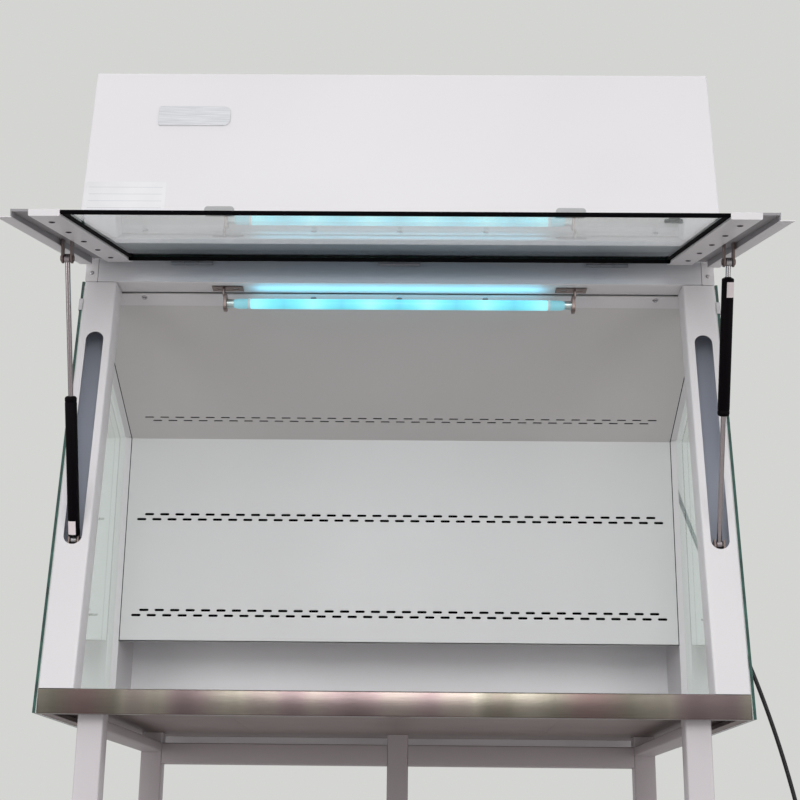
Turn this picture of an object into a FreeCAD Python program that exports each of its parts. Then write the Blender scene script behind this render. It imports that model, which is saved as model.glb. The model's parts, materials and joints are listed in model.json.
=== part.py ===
"""A biological safety cabinet on its stand, in millimetres.

X runs to the right, Y to the back and Z up. The origin lies on the floor, midway between the
foremost edge of the open sash and the rearmost face, and on the plane of symmetry.
"""
import FreeCAD, Part
import math
import os
import re
import Sketcher

os.makedirs("parts", exist_ok=True)
doc = FreeCAD.newDocument("safety_cabinet")
sheet = doc.addObject("Spreadsheet::Sheet", "Sizes")

# Driving sizes
sizes = {
    # the whole cabinet
    "overall_width": 1100, "body_depth": 690, "bench_height": 780, "hood_top": 1107.5,
    "steel": 1.5, "glass": 5, "fit_gap": 0.3,
    # the worktop and the pan under it
    "apron_drop": 38, "apron_lip": 14, "apron_radius": 2.5, "pan_drop": 25, "pan_setback": 18,
    # the two leaning posts, their slots and the clips that hold the side glass to them
    "post_lean": 8.23, "post_width": 55, "post_depth": 50, "post_top": 706,
    "slot_width": 30, "slot_low": 233, "slot_high": 616,
    "clip_at": 657, "clip_tall": 22, "clip_deep": 12, "clip_skin": 1.2,
    # the beam and headers above the opening, and the columns behind
    "beam_front": 102, "beam_depth": 50, "beam_height": 48, "header_width": 22, "upright_width": 11,
    # the baffles at the back of the work chamber
    "baffle_front": 536, "baffle_low": 142.4, "baffle_fold": 542, "baffle_slope": 23.05,
    "baffle_side": 12.6, "seal_width": 1.6, "rail_height": 12,
    "slit_length": 18, "slit_width": 4, "slit_margin": 11.7, "slit_rows_apart": 10,
    "slit_upper_row": 389, "slit_lower_row": 201.5, "slit_slope_row": 67, "slits_in_row": 34,
    # pan heads
    "head_radius": 3.6, "head_proud": 1.6, "ceiling_screw_in": 16, "ceiling_screw_x": 141,
    "ceiling_screw_out": 425, "header_screw_z": 16,
    # the hood
    "hood_low": 754, "hood_front": 42.8, "hood_lean": 8.5,
    "exhaust_wide": 560, "exhaust_deep": 260, "exhaust_y": 380,
    "louvre_count": 9, "louvre_width": 12, "louvre_margin": 10, "grille_rim": 20,
    "intake_wide": 620, "intake_deep": 90, "intake_back": 20,
    # the sash and its hinge
    "hinge_y": 98, "hinge_z": 740, "sash_open": 15.1, "sash_length": 530, "sash_start": 8,
    "skin_out": 12, "flange_in": 4, "groove_in": 9.5, "wing_in": 6, "rail_wide": 88,
    "groove_wide": 23, "wing_start": 24, "top_rail_end": 39,
    "pane_low": 4.5, "pane_bite": 8, "gasket_cover": 10, "gasket_skin": 1.5,
    "knuckle_radius": 3.7, "pin_radius": 2, "pin_clearance": 0.05, "hinge_long": 72, "knuckle_gap": 1,
    "leaf_long": 28, "leaf_tall": 12, "hinge_spacing": 360,
    "pull_x": 246, "pull_wide": 42, "pull_tall": 20, "pull_from_edge": 30, "pull_base": 18,
    "pull_step": 3, "pull_blade": 6,
    "rail_screw_in": 63, "rail_screw_first": 72, "rail_screw_pitch": 100.2, "rail_screws": 5,
    "rail_head_radius": 4, "rail_head_proud": 1.4,
    # the gas struts
    "foot_y": 47, "foot_z": 239, "ear_s": 250, "ear_n": 24, "tube_radius": 9.5, "tube_length": 222,
    "rod_radius": 4, "rod_stay": 14, "tube_end": 8, "eye_radius": 7, "eye_neck": 5, "eye_thick": 9.4,
    "bolt_radius": 3, "ear_gap": 12, "ear_thick": 2.5, "ear_half": 8, "ear_base": 20,
    "bolt_head_radius": 5, "bolt_head": 2, "rod_clearance": 0.06, "pin_end_gap": 0.4,
    # the lamp
    "lamp_y": 130, "lamp_z": 677, "lamp_radius": 13, "lamp_long": 600, "holder_thick": 10,
    "holder_wide": 24, "holder_plate": 54,
    # the blower, filter and electrics in the hood
    "blower_y": 350, "blower_z": 905, "scroll_radius": 118, "scroll_wide": 220, "scroll_sheet": 2,
    "inlet_radius": 70, "shaft_room": 4, "cradle_gap": 12,
    "wheel_radius": 98, "wheel_wide": 150, "wheel_plate": 3, "blade_count": 24, "blade_deep": 22,
    "blade_sweep": 10, "blade_thick": 2, "hub_wall": 8, "hub_long": 30,
    "shaft_radius": 6, "motor_radius": 60, "motor_long": 120, "motor_end": 10,
    "filter_tall": 70, "filter_side": 25, "filter_end": 22.5,
    "control_wide": 150, "control_deep": 140, "control_tall": 90, "control_in": 40, "control_back": 30,
    # the stand
    "leg": 40, "leg_wall": 2, "stand_in": 62, "front_leg_y": 30, "rear_leg_y": 586, "stand_gap": 18.5,
    "rear_rail_tall": 38.5, "side_rail_tall": 17, "low_rail_z": 150, "low_rail": 30,
    "foot_radius": 20, "foot_pad": 8, "foot_tall": 24, "stud_radius": 5, "stud_in": 30, "plug_in": 25,
    # switch, gland, cord and plug
    "switch_in": 110, "switch_z": 880, "switch_wide": 28, "switch_tall": 24, "bezel": 2, "bezel_rim": 2,
    "switch_deep": 20, "switch_wall": 1.5, "rocker_radius": 8, "rocker_face": 6.5, "rocker_out": 2,
    "rocker_tilt": 10, "rocker_pin": 1.5, "rocker_pin_long": 1,
    "gland_in": 45, "gland_z": 862, "gland_radius": 11, "gland_long": 34, "gland_nut": 6,
    "gland_wall": 2.5, "gland_lip": 1,
    "cord_radius": 4.25, "coil_radius": 47.5, "coil_height": 17, "tail_z": 12.3, "tail_long": 35,
    "boot_long": 24, "boot_wall": 3, "plug_long": 36, "plug_wide": 30, "plug_edge": 4,
    "blade_radius": 2.4, "blade_long": 19, "blades_apart": 19,
    # small things on the hood's front
    "badge_left": 425, "badge_right": 297, "badge_low": 994, "badge_tall": 41, "badge_thick": 2,
    "badge_corner": 6, "stop_in": 80, "stop_z": 802, "stop_wide": 19, "stop_base_wide": 32,
    "stop_tall": 8, "stop_base": 1.5,
}
for row, (alias, number) in enumerate(sizes.items(), 1):
    sheet.set(f"A{row}", alias)
    sheet.set(f"B{row}", str(number))
    sheet.setAlias(f"B{row}", alias)
doc.recompute()

derived = {}


def full(text):
    """Writes an expression out in the sheet's cells."""
    def swap(found):
        word = found.group(0)
        if word in sizes:
            return "Sizes." + word
        return f"({derived[word]})" if word in derived else word
    return re.sub(r"[A-Za-z_][A-Za-z_0-9]*", swap, str(text))


def define(name, text):
    """Names a size that is worked out from others."""
    derived[name] = full(text)


def value(text):
    """The number that an expression has now."""
    return float(sheet.evalExpression(full(text)))


def swing(at, angle, axis="1; 0; 0"):
    """The frame at a point, turned about one axis."""
    x, y, z = (full(part) for part in at)
    return f"placement(vector({x}; {y}; {z}); rotation(vector({axis}); {full(angle)})) * "


# Sizes worked out from the driving ones
define("half", "overall_width / 2")
define("inner_half", "half - glass")
define("top", "bench_height")
define("baffle_half", "inner_half - baffle_side")
define("slit_pitch", "(2 * baffle_half - 2 * slit_margin - slit_length) / slits_in_row")
define("flange_edge", "half - rail_wide")
define("rail_screw_x", "half - rail_screw_in")
define("filter_wide", "exhaust_wide + 2 * filter_side")
define("filter_deep", "exhaust_deep + 2 * filter_end")
define("stand_half", "half - stand_in")
define("switch_x", "half - switch_in")
define("gland_x", "half - gland_in")
define("stop_x", "half - stop_in")
define("sash_tip", "sash_length * cos(sash_open) + skin_out * sin(sash_open) - hinge_y")
define("rocker_axis", "bezel + rocker_out - rocker_radius")
define("rocker_rim", "sqrt(rocker_radius * rocker_radius - rocker_face * rocker_face)")
define("rocker_reach", "rocker_face * cos(rocker_tilt) + rocker_rim * sin(rocker_tilt)")
define("rear_reach", "body_depth + rocker_axis + rocker_reach")
define("front", "(sash_tip - rear_reach) / 2")
define("back", "front + body_depth")
define("chamber_top", "top + post_top")
define("hood_z", "top + hood_low")
define("hood_height", "hood_top - hood_low")
define("travel", "90 - post_lean - sash_open")
define("axis_y", "front + hinge_y")
define("axis_z", "top + hinge_z")
define("strut_x", "inner_half - post_width / 2")
define("groove_edge", "strut_x - groove_wide / 2")
define("wing_edge", "strut_x + groove_wide / 2")

WORLD = ""
SASH = swing(("0", "axis_y", "axis_z"), "sash_open")
POST = swing(("0", "front", "top"), "-post_lean")
HOOD = swing(("0", "front + hood_front", "hood_z"), "-hood_lean")
SLOPE = swing(("0", "front + baffle_front", "top + baffle_fold"), "-baffle_slope")
HEAD_SIDES = 10
TURNS = {"X": "0; 1; 0", "Y": "-1; 0; 0", "Z": "0; 0; 1"}


def place(thing, at, frame=WORLD, turn="vector(0; 0; 1); 0"):
    """Puts a thing at a point of a frame, with a turn of its own."""
    x, y, z = (full(part) for part in at)
    thing.setExpression("Placement", f"{frame}placement(vector({x}; {y}; {z}); rotation({turn}))")
    return thing


def bind(thing, **properties):
    """Ties properties of a thing to the sheet."""
    for name, text in properties.items():
        thing.setExpression(name, full(text))
    return thing


def box(name, low, size, frame=WORLD):
    """A block from its lowest corner and its three sizes."""
    thing = bind(doc.addObject("Part::Box", name), Length=size[0], Width=size[1], Height=size[2])
    return place(thing, low, frame)


def drum(name, start, axis, radius, length, frame=WORLD):
    """A cylinder from the centre of its first end, along X, Y or Z."""
    thing = bind(doc.addObject("Part::Cylinder", name), Radius=radius, Height=length)
    angle = "0" if axis == "Z" else "90"
    return place(thing, start, frame, f"vector({TURNS[axis]}); {angle}")


def prism(name, start, axis, radius, length, sides=6, frame=WORLD):
    """A bar with flat sides from the centre of its first end, along X, Y or Z."""
    thing = bind(doc.addObject("Part::Prism", name), Circumradius=radius, Height=length)
    thing.Polygon = sides
    angle = "0" if axis == "Z" else "90"
    return place(thing, start, frame, f"vector({TURNS[axis]}); {angle}")


def cut(name, base, *tools):
    """The base less the tools."""
    thing = doc.addObject("Part::Cut", name)
    thing.Base = base
    thing.Tool = tools[0] if len(tools) == 1 else fuse(name + "_tools", *tools)
    return thing


def fuse(name, *things):
    """Several things in one."""
    thing = doc.addObject("Part::MultiFuse", name)
    thing.Shapes = list(things)
    return thing


def common(name, first, second):
    """What two things share."""
    thing = doc.addObject("Part::Common", name)
    thing.Base = first
    thing.Tool = second
    return thing


def mirror(name, source):
    """The same thing on the other side of the plane of symmetry."""
    thing = doc.addObject("Part::Mirroring", name)
    thing.Source = source
    thing.Normal = FreeCAD.Vector(1, 0, 0)
    return thing


def both(name, source):
    """A thing and its mirror image."""
    return fuse(name, source, mirror(name + "_twin", source))


def turned(name, points, start, axis, frame=WORLD, more=""):
    """A solid of revolution from its radii and places along the axis."""
    body = doc.addObject("PartDesign::Body", name)
    sketch = outline(body, name + "_profile", "XZ_Plane", points)
    solid = body.newObject("PartDesign::Revolution", name + "_turn")
    solid.Profile = sketch
    solid.ReferenceAxis = (sketch, ["V_Axis"])
    body.Tip = solid
    angle = "0" if axis == "Z" else "90"
    return place(body, start, frame, more or f"vector({TURNS[axis]}); {angle}")


def origin_plane(body, role):
    """One of a body's own planes."""
    return [part for part in body.Origin.OriginFeatures if part.Role == role][0]


def sketch_on(body, name, role):
    """An empty sketch on one of a body's own planes."""
    sketch = body.newObject("Sketcher::SketchObject", name)
    sketch.AttachmentSupport = (origin_plane(body, role), [""])
    sketch.MapMode = "FlatFace"
    return sketch


def pin_point(sketch, geometry, end, at, name):
    """Ties one end of a line or arc to two expressions."""
    for way, text in zip(("DistanceX", "DistanceY"), at):
        number = value(text)
        index = sketch.addConstraint(Sketcher.Constraint(way, -1, 1, geometry, end, number))
        label = f"{name}_{way[-1].lower()}"
        sketch.renameConstraint(index, label)
        sketch.setExpression("Constraints." + label, full(text))


def polygon(sketch, points, name):
    """A closed outline of straight lines through the points."""
    corners = [FreeCAD.Vector(value(x), value(y), 0) for x, y in points]
    first = sketch.GeometryCount
    for here, there in zip(corners, corners[1:] + corners[:1]):
        sketch.addGeometry(Part.LineSegment(here, there), False)
    count = len(corners)
    for step in range(count):
        after = first + (step + 1) % count
        sketch.addConstraint(Sketcher.Constraint("Coincident", first + step, 2, after, 1))
    for step, point in enumerate(points):
        pin_point(sketch, first + step, 1, point, f"{name}{step}")


def outline(body, name, role, *loops):
    """A sketch of one outer outline and any holes in it."""
    sketch = sketch_on(body, name, role)
    for number, points in enumerate(loops):
        polygon(sketch, points, f"loop{number}_")
    return sketch


def panel(name, role, length, *loops, middle=True, frame=WORLD, at=("0", "0", "0")):
    """A body: outlines on one of its planes, drawn out to a length."""
    body = doc.addObject("PartDesign::Body", name)
    pad = body.newObject("PartDesign::Pad", name + "_pad")
    pad.Profile = outline(body, name + "_outline", role, *loops)
    pad.Midplane = middle
    bind(pad, Length=length)
    body.Tip = pad
    place(body, at, frame)
    return body


def pocket(body, name, role, length, *loops):
    """Takes outlines out of a body, the same way on both sides of the plane."""
    hole = body.newObject("PartDesign::Pocket", name)
    hole.Profile = outline(body, name + "_outline", role, *loops)
    hole.Midplane = True
    bind(hole, Length=length)
    body.Tip = hole
    return hole


def rectangle(x, y, wide, tall):
    """The corners of a rectangle from its lower left one."""
    return [(x, y), (f"{x} + {wide}", y), (f"{x} + {wide}", f"{y} + {tall}"), (x, f"{y} + {tall}")]


def fillet(body, name, radius, test):
    """Rounds the edges of a body whose two ends pass a test."""
    doc.recompute()
    before = body.Tip
    edges = [f"Edge{number}" for number, edge in enumerate(before.Shape.Edges, 1)
             if all(test(vertex.Point) for vertex in edge.Vertexes)]
    soft = body.newObject("PartDesign::Fillet", name)
    soft.Base = (before, edges)
    bind(soft, Radius=radius)
    body.Tip = soft


def near(number, text):
    """True where a number equals an expression."""
    return abs(number - value(text)) < 1e-4


# Worktop and pan
def make_worktop():
    """A steel sheet folded down at the front, with a lip turned back under it."""
    inner = "front + steel"
    low = "top - apron_drop"
    body = panel("worktop", "YZ_Plane", "2 * (inner_half - fit_gap)", [
        ("front", low), ("front", "top"), ("back - steel - fit_gap", "top"),
        ("back - steel - fit_gap", "top - steel"), (inner, "top - steel"), (inner, low + " + steel"),
        (inner + " + apron_lip", low + " + steel"), (inner + " + apron_lip", low)])
    fillet(body, "worktop_fold", "apron_radius",
           lambda p: near(p.y, "front") and near(p.z, "top"))
    fillet(body, "worktop_hem", "apron_radius - steel / 2",
           lambda p: near(p.y, "front") and near(p.z, low))
    return body


def make_base_pan():
    """A shallow tray that closes the cabinet below and meets the stand."""
    start = "front + pan_setback"
    depth = "body_depth - steel - fit_gap - pan_setback"
    tray = box("pan_block", ("-inner_half + fit_gap", start, "top - pan_drop"),
               ("2 * (inner_half - fit_gap)", depth, "pan_drop - steel"))
    hollow = box("pan_hollow",
                 ("-inner_half + fit_gap + steel", start + " + steel", "top - pan_drop + steel"),
                 ("2 * (inner_half - fit_gap - steel)", depth + " - 2 * steel", "pan_drop"))
    return cut("base_pan", tray, hollow)


# Posts, glass and headers
def make_post():
    """A leaning tube with a long round-ended slot in its front, cut level at both ends."""
    spare = "post_depth"
    length = f"post_top / cos(post_lean) + 2 * {spare}"
    left = "-inner_half"
    tube = box("post_tube", (left, "0", "-" + spare), ("post_width", "post_depth", length), POST)
    bore = box("post_bore", (left + " + steel", "steel", "-" + spare),
               ("post_width - 2 * steel", "post_depth - 2 * steel", length), POST)
    middle = left + " + post_width / 2"
    radius = "slot_width / 2"
    slot = fuse("post_slot",
                box("slot_middle", (f"{middle} - {radius}", "-steel", f"slot_low + {radius}"),
                    ("slot_width", "3 * steel", "slot_high - slot_low - slot_width"), POST),
                drum("slot_foot", (middle, "2 * steel", f"slot_low + {radius}"), "Y", radius,
                     "3 * steel", POST),
                drum("slot_head", (middle, "2 * steel", f"slot_high - {radius}"), "Y", radius,
                     "3 * steel", POST))
    level = box("post_level", ("-half", "front - body_depth", "top"),
                ("overall_width", "2 * body_depth", "post_top"))
    return common("left_post", cut("post_raw", tube, bore, slot), level)


def make_side_glass():
    """A pane over the whole side, its front edge leaning with the post."""
    low = "-apron_drop"
    return panel("left_side_glass", "YZ_Plane", "glass", [
        (f"front + {low} * tan(post_lean)", f"top + {low}"),
                                                          ("front + post_top * tan(post_lean)",
                                                           "chamber_top"),
        ("back - steel", "chamber_top"), ("back - steel", f"top + {low}")],
        at=("-half + glass / 2", "0", "0"))


def make_clip():
    """A small U that holds the pane's front edge to the post."""
    outer = box("clip_outer", ("-half - clip_skin", "-clip_skin", "clip_at"),
                ("glass + clip_skin", "clip_deep", "clip_tall"), POST)
    inner = box("clip_inner", ("-half", "0", "clip_at - 1"),
                ("glass + 1", "clip_deep + 1", "clip_tall + 2"), POST)
    return cut("left_clip", outer, inner)


def make_beam():
    """The box beam over the opening, between the two headers."""
    long = "inner_half - header_width"
    outer = box("beam_outer", (f"-({long})", "front + beam_front", "chamber_top"),
                (f"2 * ({long})", "beam_depth", "beam_height"))
    inner = box("beam_inner", (f"-({long}) - 1", "front + beam_front + steel", "chamber_top + steel"),
                (f"2 * ({long}) + 2", "beam_depth - 2 * steel", "beam_height - 2 * steel"))
    return cut("cross_beam", outer, inner)


def make_header():
    """The box rail along the top of one side."""
    depth = "body_depth - beam_front - steel"
    outer = box("header_outer", ("-inner_half", "front + beam_front", "chamber_top"),
                ("header_width", depth, "beam_height"))
    inner = box("header_inner", ("-inner_half + steel", "front + beam_front + steel", "chamber_top + steel"),
                ("header_width - 2 * steel", depth, "beam_height - 2 * steel"))
    return cut("left_header", outer, inner)


def make_upright():
    """The rear corner column, from the baffle to the rear wall."""
    depth = "body_depth - baffle_front - steel"
    outer = box("upright_outer", ("-inner_half", "front + baffle_front", "top"),
                ("upright_width", depth, "post_top"))
    inner = box("upright_inner", ("-inner_half + steel", "front + baffle_front + steel", "top - 1"),
                ("upright_width - 2 * steel", depth + " - 2 * steel", "post_top + 2"))
    return cut("left_upright", outer, inner)


# Baffles
def slit_rows(body, name, plane, rows, depth):
    """Two staggered rows of slits, each a pocket repeated across the panel."""
    for number, (height, count) in enumerate(rows):
        start = f"-({count} - 1) * slit_pitch / 2 - slit_length / 2"
        row = f"{name}_row{number}"
        hole = pocket(body, row, plane, depth,
                      rectangle(start, f"{height} - slit_width / 2", "slit_length", "slit_width"))
        repeat = body.newObject("PartDesign::LinearPattern", row + "_pattern")
        repeat.Originals = [hole]
        repeat.Direction = (hole.Profile[0], ["H_Axis"])
        bind(repeat, Occurrences=count, Length=f"({count} - 1) * slit_pitch")
        body.Tip = repeat


def make_back_baffle():
    """The upright panel with two double rows of slits."""
    body = panel("back_baffle", "XZ_Plane", "steel",
                 rectangle("-baffle_half", "baffle_low", "2 * baffle_half", "baffle_fold - baffle_low"),
                 at=("0", "front + baffle_front + steel / 2", "top"))
    more = "slits_in_row + 1"
    slit_rows(body, "back", "XZ_Plane", [
        ("slit_upper_row", "slits_in_row"), ("slit_upper_row - slit_rows_apart", more),
        ("slit_lower_row", "slits_in_row"), ("slit_lower_row - slit_rows_apart", more)], "3 * steel")
    return body


define("slope_rise", "post_top - fit_gap - baffle_fold")
define("slope_length", "(slope_rise - steel * cos(baffle_slope)) / sin(baffle_slope)")
define("rail_foot", "rail_height * tan(baffle_slope) + fit_gap")
define("rail_length", "(slope_rise - rail_height * cos(baffle_slope)) / sin(baffle_slope) - rail_foot")


def make_ceiling_baffle():
    """The sloping panel, from the foot of the beam to the top of the upright one."""
    body = panel("ceiling_baffle", "XY_Plane", "steel",
                 rectangle("-baffle_half", "-slope_length", "2 * baffle_half", "slope_length"),
                 frame=SLOPE, at=("0", "0", "steel / 2"))
    slit_rows(body, "ceiling", "XY_Plane", [
        ("-slit_slope_row", "slits_in_row"), ("-slit_slope_row + slit_rows_apart", "slits_in_row - 1")],
        "3 * steel")
    return body


def make_seals():
    """Black strips along the baffles' sides."""
    left = "-baffle_half - seal_width"
    upright = box("upright_seal", (left, "front + baffle_front", "top + baffle_low"),
                  ("seal_width", "steel", "baffle_fold - baffle_low"))
    slope = box("slope_seal", (left, "-slope_length", "0"), ("seal_width", "slope_length", "steel"), SLOPE)
    return both("baffle_seals", fuse("left_seals", upright, slope))


def make_ceiling_rail():
    """The angle that carries the sloping panel along one side."""
    wide = "inner_half - baffle_half - seal_width"
    return box("left_ceiling_rail", ("-inner_half", "-rail_length - rail_foot", "0"),
               (wide, "rail_length", "rail_height"), SLOPE)


def make_screw(name, at, axis, frame=WORLD, radius="head_radius", proud="head_proud"):
    """A pan head that lies on its panel."""
    return prism(name, at, axis, radius, proud, HEAD_SIDES, frame)


def make_panel_screws():
    """The heads along the sloping panel's front edge and on the headers' ends."""
    row = ("0", "ceiling_screw_x", "-ceiling_screw_x", "ceiling_screw_out", "-ceiling_screw_out")
    heads = [make_screw(f"ceiling_head{number}", (x, "-slope_length + ceiling_screw_in", "-head_proud"),
                        "Z", SLOPE)
             for number, x in enumerate(row)]
    for number, side in enumerate(("-", "")):
        at = (f"{side}(inner_half - header_width / 2)", "front + beam_front - head_proud",
              "chamber_top + header_screw_z")
        heads.append(make_screw(f"header_head{number}", at, "Y", frame=WORLD))
    return fuse("panel_screws", *heads)


def make_rear_wall():
    """The sheet that closes the back from the pan to the top of the hood."""
    wall = box("rear_sheet", ("-half", "back - steel", "top - apron_drop"),
               ("overall_width", "steel", "hood_top + apron_drop"))
    window = box("switch_window", ("switch_x - switch_wide / 2 + bezel_rim", "back - 2 * steel",
                                   "top + switch_z - switch_tall / 2 + bezel_rim"),
                 ("switch_wide - 2 * bezel_rim", "4 * steel", "switch_tall - 2 * bezel_rim"))
    return cut("rear_wall", wall, window)


# Hood
def make_hood_cover():
    """Front, top and two sides in one folded shell, open below and behind."""
    lean = "hood_height * tan(hood_lean)"
    roof = "top + hood_top"
    wall = "steel / cos(hood_lean)"
    front = "front + hood_front"
    back = "back - steel"
    body = panel("hood_body", "YZ_Plane", "overall_width", [
        (front, "hood_z"), (f"{front} + {lean}", roof), (back, roof), (back, "hood_z")])
    drop = "(hood_height - steel) * tan(hood_lean)"
    pocket(body, "hood_hollow", "YZ_Plane", "overall_width - 2 * steel", [
        (f"{front} + {wall} - 10 * tan(hood_lean)", "hood_z - 10"), (f"{front} + {wall} + {drop}",
                                                                     f"{roof} - steel"),
        (f"{back} + 1", f"{roof} - steel"), (f"{back} + 1", "hood_z - 10")])
    fillet(body, "hood_edges", "apron_radius / 2",
           lambda p: near(p.z, roof) and near(p.y,
                                              f"{front} + {lean}") and abs(abs(p.x) - value("half")) < 1e-4)
    vent = box("exhaust_hole", ("-exhaust_wide / 2", "front + exhaust_y - exhaust_deep / 2", roof + " - 10"),
               ("exhaust_wide", "exhaust_deep", "20"))
    return cut("hood_cover", body, vent)


def make_hood_floor():
    """The plate between the work chamber and the hood, with the intake behind the baffles."""
    start = "front + hood_front + 2 * steel"
    plate = box("floor_plate", ("-half + steel + fit_gap", start, "hood_z"),
                ("overall_width - 2 * steel - 2 * fit_gap", "body_depth - hood_front - 3 * steel", "steel"))
    intake = box("floor_intake",
                 ("-intake_wide / 2", "back - steel - intake_back - intake_deep", "hood_z - 1"),
                 ("intake_wide", "intake_deep", "steel + 2"))
    return cut("hood_floor", plate, intake)


def make_exhaust_grille():
    """A plate of louvre gaps under the hole in the roof."""
    wide = "exhaust_wide + 2 * grille_rim"
    deep = "exhaust_deep + 2 * grille_rim"
    low = "top + hood_top - 2 * steel"
    plate = box("grille_plate", (f"-({wide}) / 2", f"front + exhaust_y - ({deep}) / 2", low),
                (wide, deep, "steel"))
    gaps = []
    for number in range(int(sizes["louvre_count"])):
        y = f"front + exhaust_y - exhaust_deep / 2 + {number + 1} * exhaust_deep / (louvre_count + 1)"
        for side, x in (("left", "-exhaust_wide / 2 + louvre_margin"), ("right", "louvre_margin")):
            gaps.append(box(f"{side}_louvre{number}", (x, f"{y} - louvre_width / 2", low + " - 1"),
                            ("exhaust_wide / 2 - 2 * louvre_margin", "louvre_width", "steel + 2")))
    return cut("exhaust_grille", plate, *gaps)


define("fan_y", "front + blower_y")
define("fan_z", "top + blower_z")
define("filter_low", "top + hood_top - 2 * steel - filter_tall")
define("scroll_half", "scroll_wide / 2")


def make_filter():
    """The filter pack in its frame, hung under the grille."""
    return box("exhaust_filter", ("-filter_wide / 2", "front + exhaust_y - filter_deep / 2", "filter_low"),
               ("filter_wide", "filter_deep", "filter_tall"))


def make_scroll():
    """The blower's case: a drum with a duct up to the filter, an inlet and the shaft's hole."""
    inside = "scroll_half - scroll_sheet"
    outer = fuse("scroll_outer",
                 drum("scroll_drum", ("-scroll_half", "fan_y", "fan_z"), "X", "scroll_radius", "scroll_wide"),
                 box("scroll_duct", ("-scroll_half", "fan_y", "fan_z"),
                     ("scroll_wide", "scroll_radius", "filter_low - fan_z")))
    inner = fuse("scroll_inner",
                 drum("scroll_bore", (f"-({inside})", "fan_y", "fan_z"), "X",
                      "scroll_radius - scroll_sheet", f"2 * ({inside})"),
                 box("duct_bore", (f"-({inside})", "fan_y + scroll_sheet", "fan_z"),
                     (f"2 * ({inside})", "scroll_radius - 2 * scroll_sheet", "filter_low - fan_z + 1")),
                 drum("scroll_inlet", ("-scroll_wide", "fan_y", "fan_z"), "X", "inlet_radius",
                      "scroll_half + scroll_sheet + 1"),
                 drum("scroll_shaft_hole", (f"{inside} - 1", "fan_y", "fan_z"), "X",
                      "shaft_radius + shaft_room",
                      "scroll_sheet + 2"))
    return cut("blower_scroll", outer, inner)


def make_cradle():
    """A bent plate from the hood's floor up to the middle of the scroll's two sides."""
    base = "hood_z + steel"
    block = box("cradle_block", ("-scroll_half - scroll_sheet", "fan_y - scroll_radius / 2", base),
                ("scroll_wide + 2 * scroll_sheet", "scroll_radius",
                 f"fan_z - inlet_radius - cradle_gap - ({base})"))
    void = box("cradle_void", ("-scroll_half", "fan_y - scroll_radius / 2 - 1", f"{base} + scroll_sheet"),
               ("scroll_wide", "scroll_radius + 2", "scroll_radius"))
    return cut("blower_bracket", block, void)


def make_motor():
    """The motor's can on the scroll's right side, and its shaft."""
    can = drum("motor_can", ("scroll_half", "fan_y", "fan_z"), "X", "motor_radius", "motor_long")
    bore = drum("motor_bore", ("scroll_half - 1", "fan_y", "fan_z"), "X", "shaft_radius + pin_clearance",
                "motor_long - motor_end + 1")
    start = "wheel_wide / 2 - hub_long"
    shaft = drum("motor_shaft", (start, "fan_y", "fan_z"), "X", "shaft_radius",
                 f"scroll_half + motor_long - 2 * motor_end - ({start})")
    return cut("blower_motor", can, bore), shaft


def ring_pad(body, name, outside, inside, length):
    """A flat ring about a body's X axis, drawn out to a length."""
    pad = body.newObject("PartDesign::Pad", name)
    sketch = sketch_on(body, name + "_outline", "YZ_Plane")
    for number, text in enumerate((outside, inside)):
        middle = FreeCAD.Vector(0, 0, 0)
        sketch.addGeometry(Part.Circle(middle, FreeCAD.Vector(0, 0, 1), value(text)), False)
        sketch.addConstraint(Sketcher.Constraint("Coincident", number, 3, -1, 1))
        index = sketch.addConstraint(Sketcher.Constraint("Radius", number, value(text)))
        sketch.renameConstraint(index, f"radius{number}")
        sketch.setExpression(f"Constraints.radius{number}", full(text))
    pad.Profile = sketch
    return bind(pad, Length=length)


def make_wheel():
    """The blower's wheel: a back plate, a hub and a ring of slanting blades."""
    body = doc.addObject("PartDesign::Body", "blower_wheel")
    disc = ring_pad(body, "wheel_disc", "wheel_radius", "shaft_radius", "wheel_plate")
    blade = body.newObject("PartDesign::Pad", "wheel_blade")
    low = "wheel_radius - blade_deep"
    high = "wheel_radius - blade_thick"
    blade.Profile = outline(body, "wheel_blade_outline", "YZ_Plane", [
        (low, "-blade_thick"), (high, "blade_sweep - blade_thick"), (high, "blade_sweep"), (low, "0")])
    bind(blade, Length="wheel_wide")
    ring = body.newObject("PartDesign::PolarPattern", "wheel_blades")
    ring.Originals = [blade]
    ring.Axis = (disc.Profile[0], ["N_Axis"])
    bind(ring, Occurrences="blade_count")
    body.Tip = ring
    hub = ring_pad(body, "wheel_hub", "shaft_radius + hub_wall", "shaft_radius", "hub_long")
    body.Tip = hub
    return place(body, ("wheel_wide / 2", "fan_y", "fan_z"), turn="vector(0; 0; 1); 180")


def make_control_box():
    """The box of lamp and motor electrics on the hood's floor."""
    return box("control_box",
               ("half - control_in - control_wide", "back - control_back - control_deep", "hood_z + steel"),
               ("control_wide", "control_deep", "control_tall"))


# Lamp
def make_lamp():
    """The tube with its two metal caps, and the holders it hangs in."""
    y = "front + lamp_y"
    z = "top + lamp_z"
    tube = drum("lamp_tube", ("-lamp_long / 2", y, z), "X", "lamp_radius", "lamp_long")
    rise = "post_top - lamp_z"
    plate = box("holder_base",
                ("-lamp_long / 2 - holder_plate / 2", f"{y} - holder_wide / 2", "chamber_top - steel"),
                ("holder_plate", "holder_wide", "steel"))
    arm = box("holder_arm", ("-lamp_long / 2 - holder_thick", f"{y} - holder_wide / 2", z),
              ("holder_thick", "holder_wide", f"{rise} - steel / 2"))
    nose = drum("holder_nose", ("-lamp_long / 2 - holder_thick", y, z), "X", "holder_wide / 2",
                "holder_thick")
    return tube, both("lamp_holders", fuse("left_holder", plate, arm, nose))


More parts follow.
